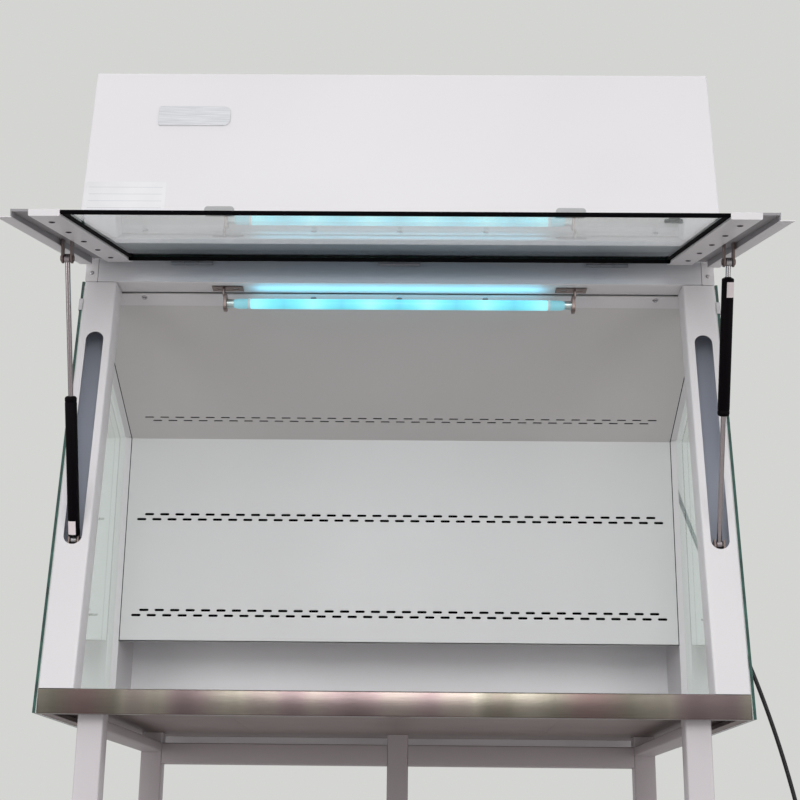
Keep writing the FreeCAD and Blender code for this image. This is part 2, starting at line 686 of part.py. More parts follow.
# Sash, in its own frame: Y runs from the free edge to the hinge, Z away from the chamber
def make_side_rail():
    """A folded section with an inner flange, a groove for the strut and an outer wing."""
    left = "-half"
    inner = "-flange_edge"
    body = panel("sash_rail_body", "XZ_Plane", "sash_length - sash_start", [
        (left, "-wing_in"), ("-wing_edge", "-wing_in"), ("-wing_edge", "groove_in - steel"),
        ("-groove_edge", "groove_in - steel"), ("-groove_edge", "flange_in"), (inner, "flange_in"),
        (inner, "skin_out"), (left, "skin_out")],
        rectangle(f"{left} + steel", "-wing_in + steel", f"half - wing_edge - 2 * steel",
                  "skin_out + wing_in - 2 * steel"),
        rectangle("-groove_edge + steel", "flange_in + steel", "groove_edge - flange_edge - 2 * steel",
                  "skin_out - flange_in - 2 * steel"),
        frame=SASH, at=("0", "-(sash_length + sash_start) / 2", "0"))
    end = box("wing_relief", ("-half - 1", "-wing_start", "-wing_in - 1"),
              ("half - wing_edge + 2", "wing_start", "wing_in + flange_in + 1"), SASH)
    return cut("left_sash_rail", body, end)


def make_top_rail():
    """The cross piece beside the hinge."""
    outer = box("top_rail_outer", ("-flange_edge", "-top_rail_end", "flange_in"),
                ("2 * flange_edge", "top_rail_end - sash_start", "skin_out - flange_in"), SASH)
    inner = box("top_rail_inner", ("-flange_edge - 1", "-top_rail_end + steel", "flange_in + steel"),
                ("2 * flange_edge + 2", "top_rail_end - sash_start - 2 * steel",
                 "skin_out - flange_in - 2 * steel"), SASH)
    return cut("sash_top_rail", outer, inner)


def make_pane():
    """The glass and the rubber edge that grips it on all four sides."""
    tall = "sash_length - top_rail_end"
    outer = box("gasket_outer", ("-flange_edge", "-sash_length", "pane_low - gasket_skin"),
                ("2 * flange_edge", tall, "glass + 2 * gasket_skin"), SASH)
    hole = box("gasket_hole",
               ("-flange_edge + gasket_cover", "-sash_length + gasket_cover", "pane_low - glass"),
               ("2 * (flange_edge - gasket_cover)", f"{tall} - 2 * gasket_cover", "3 * glass"), SASH)
    edge = "(gasket_cover - pane_bite)"
    room = (f"-flange_edge + {edge}", f"-sash_length + {edge}", "pane_low")
    size = (f"2 * (flange_edge - {edge})", f"{tall} - 2 * {edge}", "glass")
    pane = box("sash_glass", room, size, SASH)
    gasket = cut("sash_gasket", outer, hole, box("gasket_room", room, size, SASH))
    return pane, gasket


def make_pulls():
    """Two finger pulls on the outer face near the free edge."""
    y = "-sash_length + pull_from_edge"
    z = "pane_low + glass"
    body = panel("pull_body", "YZ_Plane", "pull_wide", [
        (y, z), (f"{y} + pull_base", z), (f"{y} + pull_base", f"{z} + pull_step"),
        (f"{y} + pull_blade + 1", f"{z} + 2 * pull_step"), (f"{y} + pull_blade", f"{z} + pull_tall"),
        (f"{y} + 2", f"{z} + pull_tall"), (y, f"{z} + pull_tall - pull_step")],
        frame=SASH, at=("-pull_x", "0", "0"))
    return both("sash_pulls", body)


def make_hinges():
    """Leaves on the beam and on the sash, and the pins through their knuckles."""
    third = "(hinge_long - 2 * knuckle_gap) / 3"
    fixed, moving, pins = [], [], []
    for number, x in enumerate(("-hinge_spacing", "0", "hinge_spacing")):
        start = f"{x} - hinge_long / 2"
        inner = f"{start} + {third} + knuckle_gap"
        outer = f"{start} + 2 * ({third} + knuckle_gap)"
        pins.append(drum(f"pin{number}", (start, "axis_y", "axis_z"), "X", "pin_radius", "hinge_long"))
        knuckle = drum(f"fixed_knuckle{number}", (inner, "axis_y", "axis_z"), "X", "knuckle_radius", third)
        leaf = box(f"fixed_leaf{number}", (inner, "front + beam_front - steel", "axis_z"),
                   (third, "steel", "leaf_tall"))
        bore = drum(f"fixed_bore{number}", (start, "axis_y", "axis_z"), "X", "pin_radius", "hinge_long")
        fixed.append(cut(f"fixed_part{number}", fuse(f"fixed_pair{number}", knuckle, leaf), bore))
        group = [box(f"moving_plate{number}", (start, "-leaf_long", "flange_in - steel"),
                     ("hinge_long", "leaf_long - sash_start", "steel"), SASH)]
        for end, at in (("a", start), ("b", outer)):
            group.append(drum(f"moving_knuckle{number}{end}", (at, "0", "0"), "X", "knuckle_radius", third,
                              SASH))
            group.append(box(f"moving_tab{number}{end}", (at, "-leaf_long", "flange_in - steel"),
                             (third, "leaf_long", "steel"), SASH))
        hole = drum(f"moving_bore{number}", (f"{start} - 1", "0", "0"), "X", "pin_radius + pin_clearance",
                    "hinge_long + 2", SASH)
        moving.append(cut(f"moving_part{number}", fuse(f"moving_group{number}", *group), hole))
    return fuse("fixed_hinge_leaves", *fixed), fuse("moving_hinge_leaves", *moving), fuse("hinge_pins", *pins)


def make_rail_screws():
    """A row of heads on each side rail's inner flange."""
    heads = [make_screw(f"rail_head{number}",
                        ("-rail_screw_x", f"-rail_screw_first - {number} * rail_screw_pitch",
                                               "flange_in - rail_head_proud"),
                        "Z", SASH, radius="rail_head_radius", proud="rail_head_proud")
             for number in range(int(sizes["rail_screws"]))]
    return both("rail_screws", fuse("left_heads", *heads))


# Gas struts
define("open_dy", "hinge_y - ear_s * cos(sash_open) + ear_n * sin(sash_open) - foot_y")
define("open_dz", "hinge_z - ear_s * sin(sash_open) - ear_n * cos(sash_open) - foot_z")
define("open_length", "sqrt(open_dy * open_dy + open_dz * open_dz)")
define("strut_angle", "atan(open_dy / open_dz)")
define("shank", "eye_radius + eye_neck")
STRUT = swing(("0", "front + foot_y", "top + foot_z"), "-strut_angle")


def strut_eye(name, x, at):
    """The flat eye at one end of a strut."""
    return drum(name + "_eye", (f"{x} - eye_thick / 2", "0", at), "X", "eye_radius", "eye_thick", STRUT)


def lower_bore(name, x):
    """The hole of the lower eye, which turns on the foot's pin."""
    return drum(name + "_bore", (f"{x} - eye_thick", "0", "0"), "X", "bolt_radius + pin_clearance",
                "2 * eye_thick", STRUT)


def upper_pin(name, x):
    """The pin of the upper eye, a little shorter than the space between the ears."""
    return drum(name + "_pin", (f"{x} - ear_gap / 2 + pin_end_gap", "0", "open_length"), "X", "bolt_radius",
                "ear_gap - 2 * pin_end_gap", STRUT)


def make_left_strut():
    """The strut with its cylinder below: a cylinder and a rod, each with its eye."""
    x = "-strut_x"
    can = drum("left_can", (x, "0", "shank"), "Z", "tube_radius", "tube_length", STRUT)
    bore = drum("left_can_bore", (x, "0", "shank + tube_end"), "Z", "rod_radius + rod_clearance",
                "tube_length", STRUT)
    neck = drum("left_can_neck", (x, "0", "0"), "Z", "rod_radius", "shank + 1", STRUT)
    whole = fuse("left_can_whole", cut("left_can_hollow", can, bore), neck, strut_eye("left_can", x, "0"))
    cylinder = cut("left_strut_cylinder", whole, lower_bore("left", x))
    start = "shank + tube_length - rod_stay"
    stem = drum("left_stem", (x, "0", start), "Z", "rod_radius", f"open_length - ({start})", STRUT)
    rod = fuse("left_strut_rod", stem, strut_eye("left_rod", x, "open_length"), upper_pin("left", x))
    return cylinder, rod


def make_right_strut():
    """The strut with its rod below and its cylinder above."""
    x = "strut_x"
    low = "open_length - shank - tube_length"
    can = drum("right_can", (x, "0", low), "Z", "tube_radius", "tube_length", STRUT)
    bore = drum("right_can_bore", (x, "0", f"{low} - tube_end"), "Z", "rod_radius + rod_clearance",
                "tube_length", STRUT)
    neck = drum("right_can_neck", (x, "0", "open_length - shank - 1"), "Z", "rod_radius", "shank + 1", STRUT)
    cylinder = fuse("right_strut_cylinder", cut("right_can_hollow", can, bore), neck,
                    strut_eye("right_can", x, "open_length"), upper_pin("right", x))
    stem = drum("right_stem", (x, "0", "0"), "Z", "rod_radius", f"{low} + rod_stay", STRUT)
    whole = fuse("right_rod_whole", stem, strut_eye("right_rod", x, "0"))
    return cylinder, cut("right_strut_rod", whole, lower_bore("right", x))


def make_ears():
    """The pair of ears in the rail's groove that hold the strut's upper end."""
    left = "-strut_x - ear_gap / 2 - ear_thick"
    right = "-strut_x + ear_gap / 2"
    parts = []
    for number, x in enumerate((left, right)):
        parts.append(box(f"ear{number}", (x, "-ear_s - ear_half", "-ear_n"),
                         ("ear_thick", "2 * ear_half", "ear_n + groove_in - steel"), SASH))
        parts.append(drum(f"ear_nose{number}", (x, "-ear_s", "-ear_n"), "X", "ear_half", "ear_thick", SASH))
    parts.append(box("ear_foot", (left, "-ear_s - ear_base", "groove_in - 2 * steel"),
                     ("ear_gap + 2 * ear_thick", "2 * ear_base", "steel"), SASH))
    for number, x in enumerate((left + " - bolt_head", right + " + ear_thick")):
        parts.append(prism(f"ear_bolt{number}", (x, "-ear_s", "-ear_n"), "X", "bolt_head_radius", "bolt_head",
                           frame=SASH))
    return both("strut_ears", fuse("left_ears", *parts))


def make_foot_brackets():
    """A fork inside each post that holds the strut's lower end."""
    left = "-strut_x - ear_gap / 2 - ear_thick"
    wall = "post_depth - steel"
    y = "foot_y * cos(post_lean) - foot_z * sin(post_lean)"
    z = "foot_z * cos(post_lean) + foot_y * sin(post_lean)"
    low = f"{z} - ear_half"
    cheeks = [box(f"cheek{number}", (x, f"{y} - eye_radius", low),
                  ("ear_thick", f"{wall} - ({y}) + eye_radius", "2 * ear_half"), POST)
              for number, x in enumerate((left, "-strut_x + ear_gap / 2"))]
    plate = box("cheek_plate", (left, f"{wall} - ear_thick", low),
                ("ear_gap + 2 * ear_thick", "ear_thick", "2 * ear_half"), POST)
    pin = drum("foot_pin", (left, y, z), "X", "bolt_radius", "ear_gap + 2 * ear_thick", POST)
    return both("strut_foot_brackets", fuse("left_fork", *cheeks, plate, pin))


# Stand
def tube_box(name, low, size, along):
    """A square tube along one axis."""
    outer = box(name + "_outer", low, size)
    start = [f"{a} - 1" if letter == along else f"{a} + leg_wall" for a, letter in zip(low, "XYZ")]
    span = [f"{a} + 2" if letter == along else f"{a} - 2 * leg_wall" for a, letter in zip(size, "XYZ")]
    return cut(name, outer, box(name + "_bore", start, span))


def make_stand():
    """Four legs, a centre post behind, and the rails that join them."""
    leg_top = "top - pan_drop"
    leg_low = "foot_tall"
    tall = f"{leg_top} - {leg_low}"
    front_y = "front + front_leg_y"
    rear_y = "front + rear_leg_y"
    legs = [tube_box(f"left_leg{number}", ("-stand_half", y, leg_low), ("leg", "leg", tall), "Z")
            for number, y in enumerate((front_y, rear_y))]
    low_top = "low_rail_z + low_rail"
    centre = tube_box("rear_centre_post", ("-leg / 2", rear_y, low_top),
                      ("leg", "leg", f"{leg_top} - ({low_top})"), "Z")
    inside = "stand_half - leg"
    rail_z = "top - pan_drop - stand_gap - rear_rail_tall"
    half_long = f"{inside} - leg / 2"
    rear_rail = tube_box("left_rear_rail", (f"-({inside})", rear_y, rail_z),
                         (half_long, "leg", "rear_rail_tall"), "X")
    between = "rear_leg_y - front_leg_y - leg"
    side_rail = tube_box("left_side_rail", (
        "-stand_half", f"{front_y} + leg", "top - pan_drop - stand_gap - side_rail_tall"),
        ("leg", between, "side_rail_tall"), "Y")
    low_side = tube_box("left_low_rail", ("-stand_half", f"{front_y} + leg", "low_rail_z"),
                        ("low_rail", between, "low_rail"), "Y")
    low_rear = tube_box("rear_low_rail", (f"-({inside})", rear_y, "low_rail_z"),
                        (f"2 * ({inside})", "low_rail", "low_rail"), "X")
    return [both("stand_legs", fuse("left_legs", *legs)), centre,
            both("stand_top_rails", fuse("left_top_rails", rear_rail, side_rail)),
            fuse("stand_low_rails", low_side, mirror("right_low_rail", low_side), low_rear)]


def make_feet():
    """A levelling foot in the plug at the bottom of each leg."""
    feet = []
    for number, y in enumerate(("front_leg_y", "rear_leg_y")):
        feet.append(turned(f"foot{number}", [
            ("0", "0"), ("foot_radius", "0"), ("foot_radius", "foot_pad / 2"),
                                             ("2 * stud_radius", "foot_pad / 2"),
            ("2 * stud_radius", "foot_pad"), ("stud_radius", "foot_pad"),
                                             ("stud_radius", "foot_tall + stud_in"),
                                             ("0", "foot_tall + stud_in")],
            ("-stand_half + leg / 2", f"front + {y} + leg / 2", "0"), "Z"))
    return both("levelling_feet", fuse("left_feet", *feet))


def make_plugs():
    """The plugs in the legs' ends that the feet screw into."""
    plugs = []
    for number, y in enumerate(("front_leg_y", "rear_leg_y")):
        block = box(f"plug_block{number}", ("-stand_half + leg_wall", f"front + {y} + leg_wall", "foot_tall"),
                    ("leg - 2 * leg_wall", "leg - 2 * leg_wall", "plug_in"))
        hole = drum(f"plug_hole{number}",
                    ("-stand_half + leg / 2", f"front + {y} + leg / 2", "foot_tall - 1"), "Z",
                    "stud_radius", "plug_in + 2")
        plugs.append(cut(f"plug{number}", block, hole))
    return both("leg_plugs", fuse("left_plugs", *plugs))


# Switch and cord
def make_switch():
    """A rocker on two pivots in a bezel that is snapped into the rear wall."""
    x = "switch_x - switch_wide / 2"
    z = "top + switch_z"
    inside = "switch_wide - 2 * bezel_rim - 2 * switch_wall"
    long = f"{inside} - 2 * fit_gap"
    axle = f"{long} + 2 * (fit_gap + rocker_pin_long)"
    axis_y = "back + rocker_axis"
    plate = box("switch_plate", (x, "back", f"{z} - switch_tall / 2"),
                ("switch_wide", "bezel", "switch_tall"))
    shell = box("switch_shell",
                (f"{x} + bezel_rim", "back - switch_deep", f"{z} - switch_tall / 2 + bezel_rim"),
                ("switch_wide - 2 * bezel_rim", "switch_deep", "switch_tall - 2 * bezel_rim"))
    room = box("switch_room", (f"{x} + bezel_rim + switch_wall", "back - switch_deep + switch_wall",
                               f"{z} - rocker_radius - fit_gap"),
               (inside, "switch_deep + bezel", "2 * (rocker_radius + fit_gap)"))
    hole = drum("switch_pivot_hole", (f"switch_x - ({axle}) / 2", axis_y, z), "X",
                "rocker_pin + pin_clearance", axle)
    frame = cut("switch_bezel", fuse("switch_block", plate, shell), room, hole)
    barrel = drum("rocker_barrel", (f"switch_x - ({long}) / 2", axis_y, z), "X", "rocker_radius", long)
    flat = box("rocker_flat", ("-switch_wide", "rocker_face", "-2 * rocker_radius"),
               ("2 * switch_wide", "rocker_radius", "4 * rocker_radius"),
               swing(("switch_x", axis_y, z), "rocker_tilt"))
    pivot = drum("rocker_pivot", (f"switch_x - ({axle}) / 2 + fit_gap", axis_y, z), "X", "rocker_pin",
                 f"{axle} - 2 * fit_gap")
    return frame, fuse("switch_rocker", cut("rocker_body", barrel, flat), pivot)


def make_gland():
    """A nut and a stepped strain relief that points back from the rear wall."""
    at = ("gland_x", "back", "top + gland_z")
    nut = prism("gland_hex", at, "Y", "gland_radius", "gland_nut")
    collar = drum("gland_collar", at, "Y", "cord_radius + gland_wall", "gland_long / 2")
    mouth = drum("gland_mouth", at, "Y", "cord_radius + gland_lip", "gland_long")
    return fuse("cord_gland", nut, collar, mouth)


# The cord's route after the gland, down behind the cabinet's right side to the floor, as it runs from a
# gland straight before the first point; it moves sideways with the gland
ROUTE = [(505, 611, 1642), (506, 636.5, 1632), (509, 655, 1613), (514, 664, 1587), (521, 666, 1552),
         (532, 663, 1500), (573, 651, 1325), (641, 643, 1112), (725, 640, 906), (785, 639, 702),
         (826, 645, 482), (846, 658, 260), (850, 675, 100), (845, 684, 58), (834, 693, 28),
         (815, 702, 11), (790, 710, 5), (762, 716, 4.8)]
COIL_START = math.degrees(math.atan2(28, 6))
COIL_END = 110


def tube_along(points, radius):
    """A round tube along straight runs joined by tangent arcs, each as large as its runs allow."""
    corners = [FreeCAD.Vector(*point) for point in points]
    edges = []
    last = corners[0]
    radii = []
    for before, here, after in zip(corners, corners[1:], corners[2:]):
        back_way = (before - here).normalize()
        on_way = (after - here).normalize()
        half_turn = (math.pi - back_way.getAngle(on_way)) / 2
        reach = 0.45 * min((before - here).Length, (after - here).Length)
        bend = reach / math.tan(half_turn)
        start = here + back_way * reach
        end = here + on_way * reach
        inward = (back_way + on_way).normalize()
        middle = here + inward * (math.hypot(bend, reach) - bend)
        edges += [Part.LineSegment(last, start).toShape(), Part.Arc(start, middle, end).toShape()]
        last = end
        radii.append(bend)
    edges.append(Part.LineSegment(last, corners[-1]).toShape())
    path = Part.Wire(edges)
    ring = Part.Wire(Part.Circle(corners[0], corners[1] - corners[0], radius).toShape())
    tube = path.makePipeShell([ring], True, False)
    share = tube.Volume / (math.pi * radius ** 2 * path.Length)
    print("tube", round(path.Length), "mm, smallest radius", round(min(radii or [0]), 1), "volume share",
          round(share, 4))
    return tube


def make_cord():
    """The lead to the floor and its coil there."""
    radius = value("cord_radius")
    start = (value("gland_x"), value("back + gland_long"), value("top + gland_z"))
    aside = start[0] - ROUTE[0][0]
    route = [(x + aside, y, z) for x, y, z in ROUTE]
    way = math.radians(COIL_START)
    reach = value("coil_radius + cord_radius")
    centre_x = route[-1][0] - reach * math.cos(way)
    centre_y = route[-1][1] - reach * math.sin(way)
    define("coil_x", repr(round(centre_x, 4)))
    define("coil_y", repr(round(centre_y, 4)))
    outer = drum("coil_outer", ("coil_x", "coil_y", "0"), "Z", "coil_radius + 2 * cord_radius", "coil_height")
    inner = drum("coil_inner", ("coil_x", "coil_y", "-1"), "Z", "coil_radius - 2 * cord_radius",
                 "coil_height + 2")
    coil = cut("cord_coil", outer, inner)
    doc.recompute()
    run = doc.addObject("Part::Feature", "cord_run")
    run.Shape = tube_along([start] + route, radius)
    angle = math.radians(COIL_END)
    define("plug_x", repr(round(centre_x + reach * math.cos(angle), 4)))
    define("plug_y", repr(round(centre_y + reach * math.sin(angle), 4)))
    return cut("power_cord", run, coil), coil


def make_plug():
    """A plain two-pin plug on the floor, where the lead leaves the coil at a tangent."""
    frame = swing(("plug_x", "plug_y", "tail_z"), str(COIL_END + 90), "0; 0; 1")
    boot = drum("plug_boot", ("tail_long", "0", "0"), "X", "cord_radius + boot_wall", "boot_long", frame)
    body = box("plug_block", ("tail_long + boot_long", "-plug_wide / 2", "-tail_z"),
               ("plug_long", "plug_wide", "2 * tail_z"), frame)
    soft = doc.addObject("Part::Chamfer", "plug_body")
    soft.Base = body
    soft.Edges = [(number, sizes["plug_edge"], sizes["plug_edge"]) for number in range(1, 13)]
    pins = [drum(f"plug_pin{number}", ("tail_long + boot_long + plug_long", y, "0"), "X", "blade_radius",
                 "blade_long", frame) for number, y in enumerate(("-blades_apart / 2", "blades_apart / 2"))]
    return fuse("power_plug", boot, soft, *pins)


# Small things on the hood's front
def make_badge():
    """A bare plate with round corners."""
    body = panel("badge_plate", "XZ_Plane", "badge_thick",
                 rectangle("-badge_left", "(badge_low - hood_low) / cos(hood_lean)",
                           "badge_left - badge_right",
                           "badge_tall"), middle=False, frame=HOOD)
    doc.recompute()
    before = body.Tip
    edges = [f"Edge{number}" for number, edge in enumerate(before.Shape.Edges, 1)
             if abs(edge.Vertexes[0].Y - edge.Vertexes[1].Y) > 0.5]
    soft = body.newObject("PartDesign::Fillet", "badge_corners")
    soft.Base = (before, edges)
    bind(soft, Radius="badge_corner")
    body.Tip = soft
    return body


def make_stop():
    """The rubber stop on the hood's front, near the sash's right corner."""
    low = "(stop_z - hood_low) / cos(hood_lean) - stop_tall / 2"
    base = box("stop_plate", ("stop_x - stop_base_wide / 2", "-stop_base", low),
               ("stop_base_wide", "stop_base", "stop_tall"), HOOD)
    block = box("stop_block", ("stop_x - stop_wide / 2", "-stop_tall", low),
                ("stop_wide", "stop_tall", "stop_tall"), HOOD)
    return fuse("sash_stop", base, block)


def keep(thing, label=None):
    """Marks a thing as one of the cabinet's pieces."""
    thing.Label = label or thing.Name
    pieces.append(thing)


pieces = []
for thing in (make_worktop(), make_base_pan()):
    keep(thing)
post = make_post()
pane = make_side_glass()
keep(post)
keep(mirror("right_post", post))
keep(pane)
keep(mirror("right_side_glass", pane))
keep(both("glass_clips", make_clip()))
keep(make_beam())
keep(both("side_headers", make_header()))
keep(both("rear_uprights", make_upright()))
for thing in (make_back_baffle(), make_ceiling_baffle(), make_seals()):
    keep(thing)
keep(both("ceiling_rails", make_ceiling_rail()))
for thing in (make_panel_screws(), make_rear_wall(), make_hood_cover(), make_hood_floor(),
              make_exhaust_grille(), make_filter(), make_control_box(), make_scroll(), make_cradle(),
              *make_motor(), make_wheel(), *make_lamp()):
    keep(thing)
rail = make_side_rail()
keep(rail)
keep(mirror("right_sash_rail", rail))
keep(make_top_rail())
for thing in (*make_pane(), make_pulls(), *make_hinges(), make_rail_screws(), make_ears()):
    keep(thing)
for thing in (*make_left_strut(), *make_right_strut(), make_foot_brackets()):
    keep(thing)
for thing in (*make_stand(), make_feet(), make_plugs(), *make_switch(), make_gland(), *make_cord(),
              make_plug(),
              make_badge(), make_stop()):
    keep(thing)
doc.recompute()

faults = [thing.Name for thing in doc.Objects if {"Invalid", "Error"} & set(thing.State)]
for piece in pieces:
    if piece.Shape.isNull() or not piece.Shape.isValid():
        faults.append(piece.Label)
if faults:
    raise SystemExit("failed: " + ", ".join(faults))
for piece in pieces:
    piece.Shape.exportStep(f"parts/{piece.Label}.step")
print(len(pieces), "pieces, front edge at", round(value("front"), 2))
print("sash travel", round(value("travel"), 3), "strut angle", round(value("strut_angle"), 3),
      "open length", round(value("open_length"), 2))
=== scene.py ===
import json
import math

import bmesh
import bpy
import numpy as np
from mathutils import Matrix, Vector


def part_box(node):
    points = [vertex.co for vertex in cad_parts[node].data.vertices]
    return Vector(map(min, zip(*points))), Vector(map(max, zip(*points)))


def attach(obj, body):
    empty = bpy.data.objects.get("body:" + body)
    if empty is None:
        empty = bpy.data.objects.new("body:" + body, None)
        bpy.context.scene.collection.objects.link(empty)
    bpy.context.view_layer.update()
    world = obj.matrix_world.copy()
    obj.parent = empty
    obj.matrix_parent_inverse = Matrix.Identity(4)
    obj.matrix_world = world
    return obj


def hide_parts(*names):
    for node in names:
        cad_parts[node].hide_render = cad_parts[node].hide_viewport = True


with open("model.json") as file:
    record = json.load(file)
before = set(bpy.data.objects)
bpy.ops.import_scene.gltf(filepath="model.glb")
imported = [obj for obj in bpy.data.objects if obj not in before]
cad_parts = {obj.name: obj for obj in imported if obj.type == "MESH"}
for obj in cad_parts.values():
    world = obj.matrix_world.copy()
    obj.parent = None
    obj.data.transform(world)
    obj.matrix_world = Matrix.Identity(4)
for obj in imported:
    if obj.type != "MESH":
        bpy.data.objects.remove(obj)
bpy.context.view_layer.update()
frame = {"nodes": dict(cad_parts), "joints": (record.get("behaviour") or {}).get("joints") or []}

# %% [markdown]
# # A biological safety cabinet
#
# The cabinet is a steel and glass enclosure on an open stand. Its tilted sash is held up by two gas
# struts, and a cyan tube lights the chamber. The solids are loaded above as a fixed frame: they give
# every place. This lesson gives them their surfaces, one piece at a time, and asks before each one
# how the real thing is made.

MM = 0.001
joints = {joint["name"]: joint for joint in frame["joints"]}
hinge = np.array(joints["sash_hinge"]["pos_m"])
foot = np.array(joints["left_strut_pivot"]["pos_m"])
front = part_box("worktop")[0][1]
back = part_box("rear_wall")[1][1]
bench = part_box("worktop")[1][2]
F, B, T = front / MM, back / MM, bench / MM
print("in millimetres: front", round(F, 1), "back", round(B, 1), "top of the bench", round(T, 1))

# %% [markdown]
# ## Sizes from the solids
#
# The pieces are drawn in millimetres, from the middle plane, the bench's front edge (F), the back of the
# body (B) and the top of the bench (T). The sizes that several pieces share are read off the solids'
# boxes, so that the surfaces follow them. Only the angles and the sheet's thickness are plain numbers.


# %% Shared sizes
def size(length):
    """A length of the frame in millimetres, to a tenth."""
    return round(length / MM, 1)


HALF = size(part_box("hood_cover")[1][0])
OPENING = size(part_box("cross_beam")[0][2] - bench)
APRON = size(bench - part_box("worktop")[0][2])
PAN = size(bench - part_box("base_pan")[0][2])
TABLE_HALF = size(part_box("worktop")[1][0])
HOOD_BACK, HOOD_LOW = size(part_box("hood_cover")[0][1] - front), size(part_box("hood_cover")[0][2] - bench)
HOOD_TOP = size(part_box("hood_cover")[1][2] - bench)
BAFFLE_HALF, BAFFLE_BACK = size(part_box("back_baffle")[1][0]), size(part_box("back_baffle")[0][1] - front)
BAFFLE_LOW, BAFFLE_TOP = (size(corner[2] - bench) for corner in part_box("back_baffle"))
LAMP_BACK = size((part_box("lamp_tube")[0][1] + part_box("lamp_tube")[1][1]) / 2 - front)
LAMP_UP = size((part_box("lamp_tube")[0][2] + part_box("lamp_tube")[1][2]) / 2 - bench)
INSIDE = HALF - 5
SHEET = 1.5
POST_LEAN, HOOD_LEAN, CEILING_SLOPE, SASH_TILT, STRUT_LEAN = 8.23, 8.5, 23.05, 15.1, 24.0427
print("opening", OPENING, "hood from", HOOD_LOW, "to", HOOD_TOP, "half width", HALF)

# %% [markdown]
# ## Places that lean
#
# Hardly anything on this cabinet's face is upright: the posts and the hood lean back by about eight degrees,
# the inner ceiling slopes and the sash stands open. It is easiest to draw each piece in a frame of
# its own, where it is straight, and then to turn the finished points once. A place is a point and a
# turn about X.


# %% Frames of their own
def place(origin, degrees):
    """A frame at a point: y and z turn about X by the angle, then the point is added."""
    a = math.radians(degrees)
    turn = np.array([[1, 0, 0], [0, math.cos(a), -math.sin(a)], [0, math.sin(a), math.cos(a)]])
    return np.array(origin, float), turn


WORLD = place((0, 0, 0), 0)
POST = place((0, front, bench), -POST_LEAN)
SASH = place(hinge, SASH_TILT)
HOOD = place((0, front + HOOD_BACK * MM, bench + HOOD_LOW * MM), -HOOD_LEAN)
SLOPE = place((0, front + BAFFLE_BACK * MM, bench + BAFFLE_TOP * MM), -CEILING_SLOPE)
STRUT = place((0, foot[1], foot[2]), STRUT_LEAN)


def put(points, own_frame):
    """Points of a frame, in millimetres, as world points in metres."""
    origin, turn = own_frame
    return np.asarray(points, float) * MM @ turn.T + origin


print("six frames, the sash's at", np.round(SASH[0], 4))

# %% [markdown]
# ## The camera
#
# The photograph looks slightly up at the cabinet from a step or two away. Its place was found by
# fitting a pinhole camera to the straight edges, whose real directions are known. Blender wants a matrix
# whose columns are right, up and backwards. Pitch lifts the view, yaw turns it and roll tips the horizon.
# The fit gives the focal length in pixels; a lens in millimetres is that share of the sensor's width.

# %% Camera
FOCAL_PIXELS, FRAME_PIXELS, SENSOR = 1473.54, 800, 36
pitch, yaw, roll = (math.radians(angle) for angle in (16.72, -0.73, 0.60))
ahead = Vector((math.sin(yaw) * math.cos(pitch), math.cos(yaw) * math.cos(pitch), math.sin(pitch)))
level = Vector((math.cos(yaw), -math.sin(yaw), 0))
rise = level.cross(ahead)
right = level * math.cos(roll) + rise * math.sin(roll)
above = rise * math.cos(roll) - level * math.sin(roll)
camera = bpy.data.objects.new("camera", bpy.data.cameras.new("camera"))
camera.data.lens = SENSOR * FOCAL_PIXELS / FRAME_PIXELS
camera.data.sensor_width = SENSOR
camera.data.clip_end = 50
viewpoint = Vector((34.16 * MM, front - 2283.30 * MM, bench - 221.52 * MM))
camera.matrix_world = Matrix((
    (right.x, above.x, -ahead.x, viewpoint.x), (right.y, above.y, -ahead.y, viewpoint.y),
    (right.z, above.z, -ahead.z, viewpoint.z), (0, 0, 0, 1)))
bpy.context.scene.collection.objects.link(camera)
bpy.context.scene.camera = camera
print("camera at", tuple(round(c, 3) for c in viewpoint), "lens", round(camera.data.lens, 2))

# %% [markdown]
# ## Materials as small recipes
#
# Every finish is a Principled shader with a few nodes before it. Paint has a faint orange peel and a
# little dust; brushed steel has long thin noise across the grain. Numbers that are the same all over
# stay on the shader's own sockets, and only what varies is wired.


